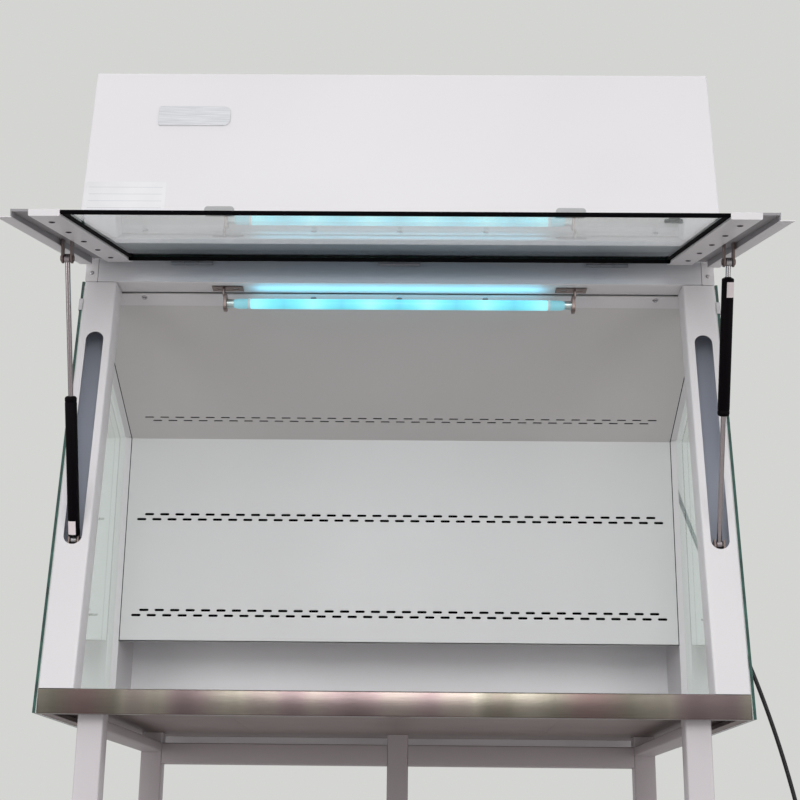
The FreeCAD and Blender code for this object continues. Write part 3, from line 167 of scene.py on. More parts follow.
# %% A helper for node materials
class Recipe:
    """A material and its node tree, with short calls for the nodes that finishes need."""

    def __init__(self, name, colour, rough=0.4, metal=0.0, **sockets):
        self.material = bpy.data.materials.new(name)
        self.material.use_nodes = True
        self.tree = self.material.node_tree
        self.shader = self.tree.nodes["Principled BSDF"]
        self.set(self.shader, **{"Base Color": (*colour, 1), "Roughness": rough, "Metallic": metal})
        self.set(self.shader, **{key.replace("_", " "): number for key, number in sockets.items()})

    def set(self, node, **sockets):
        """Puts plain numbers on a node's sockets."""
        for key, number in sockets.items():
            node.inputs[key].default_value = number
        return node

    def node(self, kind, **settings):
        """A node of a kind, with its settings."""
        made = self.tree.nodes.new("ShaderNode" + kind)
        for key, setting in settings.items():
            setattr(made, key, setting)
        return made

    def wire(self, source, target):
        """Joins an output to an input."""
        self.tree.links.new(source, target)

    def noise(self, scale, stretch=(1, 1, 1), detail=3.0, rough=0.55):
        """Noise on Object coordinates, stretched along the axes; returns its factor."""
        where = self.node("TexCoord")
        warp = self.set(self.node("Mapping"), Scale=stretch)
        grain = self.set(self.node("TexNoise"), Scale=scale, Detail=detail, Roughness=rough)
        self.wire(where.outputs["Object"], warp.inputs["Vector"])
        self.wire(warp.outputs["Vector"], grain.inputs["Vector"])
        return grain.outputs["Fac"]

    def ramp(self, factor, *stops):
        """A colour ramp with (place, colour) stops."""
        made = self.node("ValToRGB")
        points = made.color_ramp.elements
        while len(points) < len(stops):
            points.new(1)
        for point, (at, colour) in zip(points, stops):
            point.position = at
            point.color = (*colour, 1) if len(colour) == 3 else colour
        self.wire(factor, made.inputs["Fac"])
        return made.outputs["Color"]

    def along(self, axis):
        """One Object coordinate, in metres."""
        where = self.node("TexCoord")
        split = self.node("SeparateXYZ")
        self.wire(where.outputs["Object"], split.inputs[0])
        return split.outputs[axis]

    def multiplied(self, tone, shade, share):
        """A tone times a shade, by a share of the way."""
        made = self.node("Mix", data_type="RGBA", blend_type="MULTIPLY")
        made.inputs["Factor"].default_value = share
        self.wire(tone, made.inputs[6])
        self.wire(shade, made.inputs[7])
        return made.outputs[2]

    def range(self, factor, low, high, most=1.0):
        """A factor of 0 to the most it can be, spread over a range."""
        made = self.set(self.node("MapRange"), **{"From Max": most, "To Min": low, "To Max": high})
        self.wire(factor, made.inputs["Value"])
        return made.outputs["Result"]

    def bump(self, factor, strength, distance):
        """Feeds a height to the shader's normal."""
        made = self.set(self.node("Bump"), Strength=strength, Distance=distance)
        self.wire(factor, made.inputs["Height"])
        self.wire(made.outputs["Normal"], self.shader.inputs["Normal"])

    def colour(self, source):
        """Feeds the base colour."""
        self.wire(source, self.shader.inputs["Base Color"])

    def roughness(self, factor, low, high):
        """Lets the roughness wander between two values."""
        self.wire(self.range(factor, low, high), self.shader.inputs["Roughness"])


def linear(*levels):
    """Screen levels of 0 to 255 as the linear colour that the shader wants."""
    share = np.array(levels, float) / 255
    curved = np.where(share <= 0.04045, share / 12.92, ((share + 0.055) / 1.055) ** 2.4)
    return tuple(float(c) for c in curved)


def shades(levels, dark, pale):
    """Two neighbours of a colour: a darker and a paler share of it, never past white."""
    tone = np.array(linear(*levels))
    return tuple(tone * dark), tuple(np.minimum(tone * pale, 1))


print("a mid grey is", [round(c, 3) for c in linear(128, 128, 128)])


# %% Paints
def painted(name, levels, rough=0.36, peel=0.06, gloss=0.45):
    """Powder coat: a slow drift of a few per cent in its tone, and a fine orange peel."""
    recipe = Recipe(name, linear(*levels), rough, Specular_IOR_Level=gloss)
    dark, pale = shades(levels, 0.965, 1.02)
    recipe.colour(recipe.ramp(recipe.noise(2.2, detail=2.0), (0.25, dark), (0.75, pale)))
    recipe.roughness(recipe.noise(9.0), rough - 0.04, rough + 0.07)
    recipe.bump(recipe.noise(900.0, detail=1.0), peel, 0.0002)
    return recipe.material


white_paint = painted("white powder coat", (224, 222, 224))
light_paint = painted("light grey powder coat", (217, 215, 217))
chamber_paint = painted("chamber powder coat", (212, 213, 213), rough=0.30)
# painted shade: the sloping ceiling's coat is a little darker than the chamber's, for the shade it lies in
ceiling_painted_shade = painted("ceiling powder coat", (203, 201, 200), rough=0.30)
black_paint = painted("satin black enamel", (6, 3, 6), rough=0.50, peel=0.02, gloss=0.06)
dark_paint = painted("motor enamel", (86, 90, 96), rough=0.42)
stand_paint = painted("stand powder coat", (202, 197, 200))
print("seven paints")


# %% Metals
GRAIN_SCALE, GRAIN_HEIGHT = 24.0, 0.00012
STRETCH = {"X": (1, 34, 34), "Z": (34, 34, 1)}


def brushed(name, levels, rough=0.28, along="X", depth=0.5):
    """Rolled steel: noise drawn out thirty-four times along the grain wanders colour, gloss and height."""
    recipe = Recipe(name, linear(*levels), rough, 1.0)
    dark, pale = shades(levels, 0.84, 1.08)
    grain = recipe.noise(GRAIN_SCALE, STRETCH[along], detail=4.0)
    recipe.colour(recipe.ramp(grain, (0.3, dark), (0.7, pale)))
    recipe.roughness(recipe.noise(3.0, (1, 0.4, 0.4), detail=1.0), rough - 0.05, rough + 0.10)
    recipe.bump(grain, depth * 0.25, GRAIN_HEIGHT)
    return recipe.material


def grained(recipe, tone, dark, share, depth):
    """Lays the grain along X over a given tone, such as the apron's painted reflections and the beam's
    painted shade: it darkens the tone and lifts the face.
    """
    grain = recipe.noise(GRAIN_SCALE, STRETCH["X"], detail=4.0)
    shade = recipe.ramp(grain, (0.3, (dark, dark, dark)), (0.7, (1, 1, 1)))
    recipe.colour(recipe.multiplied(tone, shade, share))
    recipe.bump(grain, depth, GRAIN_HEIGHT)
    return recipe.material


stainless = brushed("brushed stainless steel", (205, 200, 200))
plain_steel = brushed("galvanised sheet", (176, 180, 184), rough=0.42)
bright_steel = brushed("bright plated steel", (188, 186, 188), rough=0.24, along="Z", depth=0.25)
rod_steel = brushed("hard chromed rod", (172, 164, 166), rough=0.16, along="Z", depth=0.1)
silver = brushed("satin silver plate", (222, 223, 226), rough=0.36, depth=0.15)
clevis_steel = brushed("zinc clevis", (138, 124, 120), rough=0.34, along="Z", depth=0.15)
# painted reflections: the apron's bands of brown, cream and grey stand for the room mirrored in the brushed
# steel
apron = Recipe("apron steel", linear(170, 158, 156), 0.24, 1.0)
bands = apron.ramp(apron.noise(3.2, (1.6, 0.05, 0.05), detail=2.0),
                   (0.32, linear(86, 72, 72)), (0.43, linear(132, 116, 116)), (0.50, linear(150, 143, 132)),
                   (0.57, linear(122, 117, 106)), (0.70, linear(122, 102, 100)))
apron_painted_reflections = grained(apron, bands, 0.72, 0.5, 0.12)
# painted shade: the pan's steel underside is a dark grey coat, for the steel seen in shadow
drawn = Recipe("pan coat", linear(150, 142, 142), 0.5)
drawn.colour(drawn.ramp(drawn.noise(3.0), (0.3, linear(128, 116, 114)), (0.7, linear(150, 138, 136))))
pan_painted_shade = drawn.material
print("seven metals and the pan's painted shade")

# %% Painted shade on the beam
# The face is darkest in the middle and paler towards both ends, as painted shade under the sash: a slow
# change of tone with the distance from the middle, which is X without its sign, and a fine grain over it.
beam = Recipe("brushed beam coat", linear(150, 158, 166), 0.42, 0.15)
away = beam.node("Math", operation="ABSOLUTE")
beam.wire(beam.along("X"), away.inputs[0])
beam_shade_tone = beam.ramp(away.outputs[0], (0.10, linear(150, 163, 175)), (0.34, linear(166, 173, 182)),
                      (0.45, linear(192, 195, 200)), (0.52, linear(212, 212, 216)))
beam_painted_shade = grained(beam, beam_shade_tone, 0.8, 0.4, 0.1)
print("the beam's painted shade")


# %% Rubber and plastics
def moulded(name, levels, rough=0.5, grain=0.08, gloss=0.4):
    """Moulded plastic or rubber: a fine even grain and a slow change of gloss."""
    recipe = Recipe(name, linear(*levels), rough, Specular_IOR_Level=gloss)
    dark, pale = shades(levels, 0.9, 1.1)
    recipe.colour(recipe.ramp(recipe.noise(6.0), (0.3, dark), (0.7, pale)))
    recipe.roughness(recipe.noise(30.0), rough - 0.06, rough + 0.08)
    recipe.bump(recipe.noise(1400.0, detail=1.0), grain, 0.0002)
    return recipe.material


black_rubber = moulded("black edge rubber", (5, 4, 6), rough=0.7, gloss=0.03)
black_plastic = moulded("black nylon", (24, 24, 26), rough=0.45)
cord_sheath = moulded("cord sheath", (22, 22, 24), rough=0.42)
grey_plastic = moulded("grey pull plastic", (172, 173, 174), rough=0.42)
white_plastic = moulded("white lamp plastic", (226, 228, 228), rough=0.36)
print("five plastics")

# %% [markdown]
# ## Glass that stays easy on the renderer
#
# A real pane bends light twice, and a path tracer then needs many samples. A pane this thin hardly
# shifts what is behind it. What the eye gets is a mirror laid over a clear view, and Fresnel's rule says how
# much of each: almost no mirror face on, and more and more towards a glancing angle. So the pane is a
# pale mirror whose opacity follows that rule. The cut edges, where one looks through metres of
# green glass, are a second, dark material.


# %% Glass
def pane_glass(name, levels, open_share, climb):
    """A mirror of a tint. Its opacity is a small base plus a multiple of Schlick's share: one less the
    cosine of the viewing angle, to the fifth power. Layer Weight's Facing is that first part, on both
    sides alike."""
    recipe = Recipe(name, linear(*levels), 0.015, 1.0)
    facing = recipe.set(recipe.node("LayerWeight"), Blend=0.5)
    steep = recipe.node("Math", operation="POWER")
    steep.inputs[1].default_value = 5
    recipe.wire(facing.outputs["Facing"], steep.inputs[0])
    share = recipe.node("Math", operation="MULTIPLY_ADD", use_clamp=True)
    recipe.wire(steep.outputs[0], share.inputs[0])
    share.inputs[1].default_value = climb
    share.inputs[2].default_value = open_share
    recipe.wire(share.outputs[0], recipe.shader.inputs["Alpha"])
    recipe.roughness(recipe.noise(5.0), 0.01, 0.03)
    return recipe.material


sash_clear = pane_glass("sash glass", (224, 238, 236), 0.04, 0.80)
side_clear = pane_glass("side glass", (214, 236, 230), 0.05, 0.85)
cut_edge = Recipe("green glass edge", linear(22, 62, 54), 0.12, Specular_IOR_Level=0.7)
cut_edge.colour(cut_edge.ramp(cut_edge.noise(14.0, (1, 1, 4)), (0.3, linear(14, 46, 40)),
                              (0.7, linear(36, 88, 76))))
glass_edge = cut_edge.material
print("glass for panes and their cut edges")

# %% [markdown]
# ## Shapes from arrays
#
# Sheet metal, tubes and mouldings are all a profile that is carried along a line, so a few functions
# that work on whole arrays of points make nearly every piece. Corners are rounded in the profile, where
# the press brake rounds them.


# %% Profiles
def rounded(corners, radius, steps=4):
    """Each corner of a closed outline gives way to an arc. The arc's centre lies on the corner's bisector,
    radius over the sine of the half angle away, and its points turn evenly from one side to the other."""
    p = np.asarray(corners, float)
    r = np.broadcast_to(np.asarray(radius, float), len(p))[:, None]
    to_last = np.roll(p, 1, 0) - p
    to_next = np.roll(p, -1, 0) - p
    to_last /= np.linalg.norm(to_last, axis=1, keepdims=True)
    to_next /= np.linalg.norm(to_next, axis=1, keepdims=True)
    opening = np.arccos(np.clip((to_last * to_next).sum(1), -1, 1))[:, None] / 2
    middle = to_last + to_next
    middle /= np.linalg.norm(middle, axis=1, keepdims=True)
    centre = p + middle * r / np.sin(opening)
    first = p + to_last * r / np.tan(opening) - centre
    last = p + to_next * r / np.tan(opening) - centre
    swing = (math.pi - 2 * opening)[:, :, None]
    t = np.linspace(0, 1, steps)[None, :, None]
    arcs = (np.sin((1 - t) * swing) * first[:, None] + np.sin(t * swing) * last[:, None]) / np.sin(swing)
    points = (centre[:, None] + arcs).reshape(-1, 2)
    keep = np.linalg.norm(points - np.roll(points, 1, 0), axis=1) > 1e-6
    return points[keep]


def rectangle(low_x, low_y, high_x, high_y):
    """The four corners, counter-clockwise."""
    return [(low_x, low_y), (high_x, low_y), (high_x, high_y), (low_x, high_y)]


def ring(radius, count=32, centre=(0, 0)):
    """Points evenly round a circle: radius times cosine and sine of equal steps."""
    a = np.arange(count) * 2 * math.pi / count
    return np.column_stack([centre[0] + radius * np.cos(a), centre[1] + radius * np.sin(a)])


print("a square with round corners has", len(rounded(rectangle(0, 0, 10, 10), 2)), "points")


# %% Surfaces over a grid
def grid_faces(rows, columns, closed_rows=False, closed_columns=True):
    """The quads of a grid of points, joined up at its ends where it is closed."""
    i = np.arange(rows if closed_rows else rows - 1)[:, None]
    j = np.arange(columns if closed_columns else columns - 1)[None, :]
    here, there = i * columns, (i + 1) % rows * columns
    after = (j + 1) % columns
    return np.stack([here + j, here + after, there + after, there + j], axis=-1).reshape(-1, 4)


def carried(outline, low, high, axes="yzx"):
    """A prism: the outline's points at a first and a last place along the third axis, with both ends closed.
    Each place may be one number or one for each point, for ends that are cut at a slant."""
    n = len(outline)
    order = [axes.index(letter) for letter in "xyz"]
    rings = [np.column_stack([outline, np.broadcast_to(end, n)])[:, order] for end in (low, high)]
    faces = grid_faces(2, n).tolist() + [list(range(n))[::-1], list(range(n, 2 * n))]
    return np.vstack(rings), faces


def lathed(profile, axis="z", at=(0, 0, 0), count=32):
    """A solid of revolution: (radius, height) pairs turned round an axis through a point. A radius of
    nothing at either end closes it in a point, where the doubles are merged."""
    p = np.asarray(profile, float)
    a = np.arange(count) * 2 * math.pi / count
    cos, sin = np.cos(a)[None, :], np.sin(a)[None, :]
    along = np.broadcast_to(p[:, 1:], (len(p), count))
    around = (p[:, :1] * cos, p[:, :1] * sin)
    order = {"x": (along, *around), "y": (around[1], along, around[0]), "z": (*around, along)}[axis]
    points = np.stack(order, axis=-1).reshape(-1, 3) + np.asarray(at, float)
    return points, grid_faces(len(p), count).tolist()


def block(low, high):
    """A plain box; the Bevel modifier gives it its edges."""
    return carried(rectangle(low[1], low[2], high[1], high[2]), low[0], high[0])


def mirrored(*shapes):
    """The shapes and their images across the plane of symmetry, with faces turned to point outwards."""
    return [*shapes, *((points * (-1, 1, 1), [face[::-1] for face in faces]) for points, faces in shapes)]


print("surfaces: carried, lathed, block")


# %% From arrays to a finished piece
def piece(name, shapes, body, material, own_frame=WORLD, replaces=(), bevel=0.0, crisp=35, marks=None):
    """Joins shapes into one mesh in world metres, merges doubles, points its faces outwards, and lets it
    ride on a body. Faces that meet at more than the crisp angle keep a sharp edge. With several materials,
    the marks say which of them each shape takes."""
    points, faces, groups, count = [], [], [], 0
    for number, (where, quads) in enumerate(shapes):
        points.append(np.asarray(where, float))
        faces += [[corner + count for corner in face] for face in quads]
        groups += [marks[number] if marks else 0] * len(quads)
        count += len(where)
    mesh = bpy.data.meshes.new(name)
    mesh.from_pydata(put(np.vstack(points), own_frame), [], faces)
    mesh.polygons.foreach_set("material_index", np.array(groups, np.int32))
    tidy = bmesh.new()
    tidy.from_mesh(mesh)
    bmesh.ops.remove_doubles(tidy, verts=tidy.verts, dist=2e-6)
    bmesh.ops.recalc_face_normals(tidy, faces=tidy.faces)
    tidy.to_mesh(mesh)
    tidy.free()
    mesh.polygons.foreach_set("use_smooth", np.ones(len(mesh.polygons), bool))
    mesh.set_sharp_from_angle(angle=math.radians(crisp))
    for finish in material if isinstance(material, (list, tuple)) else [material]:
        mesh.materials.append(finish)
    made = bpy.data.objects.new(name, mesh)
    bpy.context.scene.collection.objects.link(made)
    if bevel:
        soft = made.modifiers.new("edge", "BEVEL")
        soft.width = bevel * MM
        soft.segments = 2
        soft.limit_method = "ANGLE"
        soft.angle_limit = math.radians(40)
        soft.harden_normals = True
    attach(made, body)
    if replaces:
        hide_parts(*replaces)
    return made


def finish(node, *materials):
    """Gives a carried-over solid its material."""
    data = frame["nodes"][node].data
    data.materials.clear()
    for material in materials:
        data.materials.append(material)


print("ready to make pieces")

# %% [markdown]
# ## The mains lead
#
# The lead leaves a gland low on the hood's back, hangs behind the right side and ends in a neat coil on the
# floor. A lead is a smooth line, so it is a NURBS curve: its control points are the corners of
# the route, and the curve cuts inside them as a real cord does. The turns of the coil are more points of
# the same spline: the angle runs on, and radius and height step from layer to layer.

# %% Route and coil of the lead
CORD, TAIL = 8.5, 35
GLAND_X, GLAND_UP, GLAND_LONG = 505, 862, 34
COIL_OUT, COIL_IN, COIL_END = 51.75, 43.25, math.radians(110)
route = np.array([
    (505, 611, 1642), (506, 636.5, 1632), (509, 655, 1613), (514, 664, 1587), (521, 666, 1552),
    (532, 663, 1500), (573, 651, 1325), (641, 643, 1112), (725, 640, 906), (785, 639, 702),
    (826, 645, 482), (846, 658, 260), (850, 675, 100), (845, 684, 58), (834, 693, 28),
    (815, 702, 11), (790, 710, 5), (762, 716, 4.8)], float)
gland_end = np.array([GLAND_X, B + GLAND_LONG, T + GLAND_UP])
coil_start = math.atan2(28, 6)
coil_middle = route[-1, :2] - COIL_OUT * np.array([math.cos(coil_start), math.sin(coil_start)])


def coil_turns(turns, outer, inner, low, high, start, end):
    """Points of a wound coil. The angle runs on from start to end through the turns; the radius goes from
    outer to inner and back out while the height climbs by one cord half-way."""
    t = np.linspace(0, 1, int(turns * 14))
    angle = start + t * (2 * math.pi * turns + (end - start))
    lower = 1 / (1 + np.exp((t - 0.5) * 60))
    swing = 0.5 - 0.5 * np.cos(2 * math.pi * t)
    radius = outer - (outer - inner) * swing
    height = low * lower + high * (1 - lower)
    return np.column_stack([coil_middle[0] + radius * np.cos(angle),
                            coil_middle[1] + radius * np.sin(angle), height])


def length_of(points):
    """The length of a line: the sum of the distances from each point to the next."""
    return float(np.linalg.norm(np.diff(points, axis=0), axis=1).sum())


coil = coil_turns(3, COIL_OUT, COIL_IN, 4.3, 12.6, coil_start, COIL_END)[1:]
leave = coil[-1] + TAIL * np.array([-math.sin(COIL_END), math.cos(COIL_END), 0])
cord_points = np.vstack([gland_end, route, coil, leave]) * MM
print(len(cord_points), "control points, polygon", round(length_of(cord_points), 2), "m")


# %% The lead as a curve
def nurbs(name, points, steps):
    """A curve that starts on the first control point, ends on the last and cuts inside the others."""
    made = bpy.data.curves.new(name, "CURVE")
    made.dimensions = "3D"
    made.resolution_u = steps
    spline = made.splines.new("NURBS")
    spline.points.add(len(points) - 1)
    spline.points.foreach_set("co", np.column_stack([points, np.ones(len(points))]).ravel())
    spline.order_u = 3
    spline.use_endpoint_u = True
    return made


curve = nurbs("mains_lead", cord_points, 10)
curve.bevel_depth = CORD / 2 * MM
curve.bevel_resolution = 5
curve.use_fill_caps = True
curve.materials.append(cord_sheath)
lead = bpy.data.objects.new("mains_lead", curve)
bpy.context.scene.collection.objects.link(lead)
bpy.context.view_layer.update()
print("a lead of", len(curve.splines[0].points), "control points")

# %% The lead as a line of points
# The same curve without its thickness becomes a line of points, whose coordinates are read into an array.
bare_curve = nurbs("lead_line", cord_points, 12)
bare_object = bpy.data.objects.new("lead_line", bare_curve)
line = bpy.data.meshes.new_from_object(bare_object)
line_points = np.zeros(len(line.vertices) * 3)
line.vertices.foreach_get("co", line_points)
bpy.data.objects.remove(bare_object)
bpy.data.curves.remove(bare_curve)
bpy.data.meshes.remove(line)
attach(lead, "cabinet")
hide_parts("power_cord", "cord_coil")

# %% [markdown]
# ## Gland and plug
#
# The gland is a moulded taper with a hexagonal nut and rings that let it bend. The plug is a moulded
# block with a ribbed boot: turned shapes again, and one soft block.

# %% Gland
taper = [(0, 0), (11, 0), (11, 6), (8.2, 6.4), (8.2, 8), (6.9, 9)]
ribs = np.array([(6.8 - 0.17 * k + (0.0 if side else -0.9), 10 + 3.4 * k + step)
                 for k in range(7) for side, step in ((1, 0), (1, 1.8), (0, 2.0), (0, 3.2))])
gland_profile = np.vstack([taper, ribs, [(5.3, GLAND_LONG), (4.25, GLAND_LONG), (0, GLAND_LONG)]])
gland = piece("lead_gland", [lathed(gland_profile, "y", (GLAND_X, B, T + GLAND_UP), 36)],
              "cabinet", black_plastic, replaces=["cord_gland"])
print("gland", len(gland.data.polygons), "faces")

# %% Plug
plug_turn = math.radians(200)
plug_frame = (leave * MM, np.array([[math.cos(plug_turn), -math.sin(plug_turn), 0],
                                    [math.sin(plug_turn), math.cos(plug_turn), 0], [0, 0, 1]]))
boot_ribs = [(5.3 + 0.3 * k - dip, 1 + 4 * k + step)
             for k in range(5) for step, dip in ((0, 0), (2.2, 0), (2.4, 0.9), (3.6, 0.9))]
boot = [(0, 0), (5.25, 0), *boot_ribs, (7.25, 24), (0, 24)]
section = rounded(rectangle(-15, -12.1, 15, 12.4), 4.5, 5)
stations = [(24, 0.62), (26, 0.72), (30, 0.80), (44, 1.0), (58, 1.0), (60, 0.94)]
body_rings = [np.column_stack([np.full(len(section), x), section * k]) for x, k in stations]
first_end = list(range(len(section)))
last_end = [corner + (len(stations) - 1) * len(section) for corner in first_end]
plug_body = (np.vstack(body_rings),
             grid_faces(len(stations), len(section)).tolist() + [first_end[::-1], last_end])
plug_pins = [lathed([(0, 59), (2.4, 59), (2.4, 77.5), (1.4, 79), (0, 79)], "x", (0, y, 0), 20)
             for y in (-9.5, 9.5)]
plug = piece("mains_plug", [lathed(boot, "x"), plug_body, *plug_pins], "cabinet",
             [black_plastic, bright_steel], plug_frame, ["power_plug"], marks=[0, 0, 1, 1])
print("plug on the floor at", np.round(leave, 1))

# %% [markdown]
# ## Light and background
#
# The room is bright and even: ceiling panels and pale walls. One broad soft lamp above and in front, a
# weaker one from each side and a pale world do the same. The world shows a plain pale grey to the camera
# and through glass, and gives the object a light that grows a little from below to above. A long thin
# lamp over the glowing tube adds its faint cyan to the ceiling.

# %% World
world = bpy.data.worlds.new("studio")
bpy.context.scene.world = world
world.use_nodes = True
sky = world.node_tree
sky.nodes.clear()
kinds = ("OutputWorld", "Background", "Background", "TexCoord", "SeparateXYZ", "MapRange", "LightPath",
         "Math", "MixShader")
out, seen, lit, direction, split, climb, rays, either, mix = [sky.nodes.new("ShaderNode" + k) for k in kinds]
seen.inputs["Color"].default_value = (*linear(212, 213, 210), 1)
lit.inputs["Color"].default_value = (0.955, 0.955, 0.965, 1)
for key, number in (("From Min", -0.1), ("From Max", 0.8), ("To Min", 0.42), ("To Max", 1.10)):
    climb.inputs[key].default_value = number
either.operation = "MAXIMUM"
wires = [(direction, "Generated", split, 0), (split, "Z", climb, "Value"),
         (climb, "Result", lit, "Strength"), (rays, "Is Camera Ray", either, 0),
         (rays, "Is Transmission Ray", either, 1), (either, 0, mix, "Fac"), (lit, 0, mix, 1),
         (seen, 0, mix, 2), (mix, 0, out, "Surface")]
for source, output, target, socket in wires:
    sky.links.new(source.outputs[output], target.inputs[socket])
print("world of", len(sky.nodes), "nodes")


# %% Lamps and floor
def soft_lamp(name, at, towards, size, power, colour=(1, 1, 1)):
    """A square area lamp whose face looks from one point towards another."""
    light = bpy.data.lights.new(name, "AREA")
    light.shape = "SQUARE"
    light.size = size
    light.energy = power
    light.color = colour
    made = bpy.data.objects.new(name, light)
    gaze = (Vector(towards) - Vector(at)).to_track_quat("-Z", "Y")
    made.matrix_world = Matrix.Translation(at) @ gaze.to_matrix().to_4x4()
    bpy.context.scene.collection.objects.link(made)
    return made


soft_lamp("front_panel", (0.0, -2.8, 1.78), (0, 0.3, 1.1), 1.1, 20)
soft_lamp("left_panel", (-2.4, -2.2, 1.05), (0, 0.4, 1.1), 1.5, 15)
soft_lamp("right_panel", (2.4, -2.2, 1.05), (0, 0.4, 1.1), 1.5, 14, (1.0, 0.99, 0.98))
over_tube = front + LAMP_BACK * MM
tube_light = soft_lamp("tube_light", (0, over_tube, 1.47), (0, over_tube, 1.6), 0.5, 0.09, (0.16, 0.72, 1.0))
tube_light.data.shape = "RECTANGLE"
tube_light.data.size_y = 0.012
floor_mesh = bpy.data.meshes.new("floor")
floor_mesh.from_pydata([(-9, -9, 0), (9, -9, 0), (9, 9, 0), (-9, 9, 0)], [], [(0, 1, 2, 3)])
floor_material = Recipe("pale floor", linear(172, 169, 168), 0.6)
floor_material.roughness(floor_material.noise(3.0), 0.55, 0.7)
floor_mesh.materials.append(floor_material.material)
floor = bpy.data.objects.new("floor", floor_mesh)
bpy.context.scene.collection.objects.link(floor)
print("four lamps and a floor")

# %% [markdown]
# ## The worktop's apron and the pan
#
# The bench is a brushed sheet folded down at the front into an apron, and hemmed back underneath. Its
# profile is drawn once, thickness and bend radii included, and carried from side to side. The pan under
# it is a shallow tray whose floor shows from below, with three welded seams. Its side walls reach down
# to the apron's hem and turn inwards there as narrow flanges.

# %% Worktop
HEM = 15.5
sheet_back, hem_top = B - 1.8, T - APRON + SHEET
outer_line = [(sheet_back, T), (F, T), (F, T - APRON), (F + HEM, T - APRON), (F + HEM, hem_top),
              (F + SHEET, hem_top), (F + SHEET, T - SHEET), (sheet_back, T - SHEET)]
worktop_profile = rounded(outer_line, (0, 2.5, 2.2, 0.4, 0.4, 0.8, 1.0, 0), 6)
bent, quads = carried(worktop_profile, -TABLE_HALF, TABLE_HALF)
worktop = piece("worktop_sheet", [(bent, quads[:1]), (bent, quads[1:])], "cabinet", [stainless, apron_painted_reflections],
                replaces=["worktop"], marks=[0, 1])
print("worktop", len(worktop.data.polygons), "faces")

# %% Pan
pan_low, pan_front, side_low, side_in = T - PAN, F + 18, T - APRON + 0.4, TABLE_HALF - SHEET
tray = [block((-TABLE_HALF, pan_front, pan_low), (TABLE_HALF, sheet_back, pan_low + SHEET)),
        block((-TABLE_HALF, pan_front, pan_low), (TABLE_HALF, pan_front + SHEET, T - SHEET)),
        block((-TABLE_HALF, sheet_back - SHEET, pan_low), (TABLE_HALF, sheet_back, T - SHEET)),
        *mirrored(block((side_in, pan_front, side_low), (TABLE_HALF, sheet_back, T - SHEET)),
                  block((526, pan_front, side_low), (side_in, B - 4, side_low + 1.2)))]
seams = [block((-0.6, pan_front + 2, pan_low - 0.35), (0.6, B - 4, pan_low)),
         *mirrored(block((272, pan_front + 2, pan_low - 0.3), (273, B - 4, pan_low)))]
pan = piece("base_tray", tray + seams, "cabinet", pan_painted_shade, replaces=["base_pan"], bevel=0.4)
print("pan", len(pan.data.polygons), "faces")

# %% [markdown]
# ## Panels with slits
#
# The inner back and the sloping ceiling are sheets with staggered rows of punched slits. A slit is a hole
# with round ends. The sheet round it is a ring of quads from the hole's outline to a cell's outline, and
# cells repeat across the row. Only the two outlines are worked out; the rows come from adding an array of
# centres. Black strips stand behind the slits as painted shade, to keep them dark.


# %% Slit cells
def slit_cell(cell, hole, arc=5):
    """One cell with a slit, as points and quads: outlines of cell and hole on the front and the back face,
    each with an end arc's points. The hole's arc points are its end centres plus its half height times a
    turning unit vector; the cell's stand beside them on its border."""
    a = np.linspace(-math.pi / 2, math.pi / 2, arc)
    straight, r = hole[0] - hole[1], hole[1]
    right_arc = np.column_stack([straight + r * np.cos(a), r * np.sin(a)])
    border = np.column_stack([np.full(arc, cell[0]), np.linspace(-cell[1], cell[1], arc)])
    border = np.vstack([[straight, -cell[1]], border, [straight, cell[1]]])
    inner = np.vstack([right_arc[:1], right_arc, right_arc[-1:]])
    loop_hole = np.vstack([inner, -inner])
    loop_cell = np.vstack([border, -border])
    n = len(loop_hole)
    flat = np.vstack([loop_cell, loop_hole, loop_hole, loop_cell])
    through = np.repeat([0.0, 0.0, SHEET, SHEET], n)
    return np.column_stack([flat, through]), grid_faces(4, n)


def slit_row(centres, v, cell, hole):
    """The cells of a row: the one cell's points plus each centre."""
    points, quads = slit_cell(cell, hole)
    count = len(points)
    shift = np.column_stack([centres, np.full(len(centres), v), np.zeros(len(centres))])
    all_points = (shift[:, None] + points[None]).reshape(-1, 3)
    all_quads = (np.arange(len(centres))[:, None, None] * count + quads[None]).reshape(-1, 4)
    return all_points, all_quads.tolist()


def strip(u0, u1, v0, v1):
    """A plain stretch of the sheet."""
    return carried(rectangle(u0, v0, u1, v1), 0, SHEET, "xyz")


CELL, SLIT, SHADE_STRIP_HALF = (29.65 / 2, 5.0), (9.2, 2.4), 522


def slit_panel(bottom, top, rows):
    """A baffle's sheet from bottom to top. Each row is (height, count); the rows of a pair stand one cell
    apart, and plain strips fill what lies between and beside them."""
    shapes, done = [], bottom
    for v, count in sorted(rows):
        reach, under, over = count * CELL[0], v - CELL[1], v + CELL[1]
        if under > done + 0.01:
            shapes.append(strip(-BAFFLE_HALF, BAFFLE_HALF, done, under))
        centres = (np.arange(count) - (count - 1) / 2) * 2 * CELL[0]
        shapes.append(slit_row(centres, v, CELL, SLIT))
        shapes += [strip(-BAFFLE_HALF, -reach, under, over), strip(reach, BAFFLE_HALF, under, over)]
        done = over
    shapes.append(strip(-BAFFLE_HALF, BAFFLE_HALF, done, top))
    return shapes


print("one cell has", len(slit_cell(CELL, SLIT)[1]), "quads")


# %% Baffles
def standing(shapes, y, z):
    """Turns sheet coordinates (across, up, through) into an upright sheet whose front is at y."""
    return [(np.column_stack([p[:, 0], y + p[:, 2], z + p[:, 1]]), quads) for p, quads in shapes]


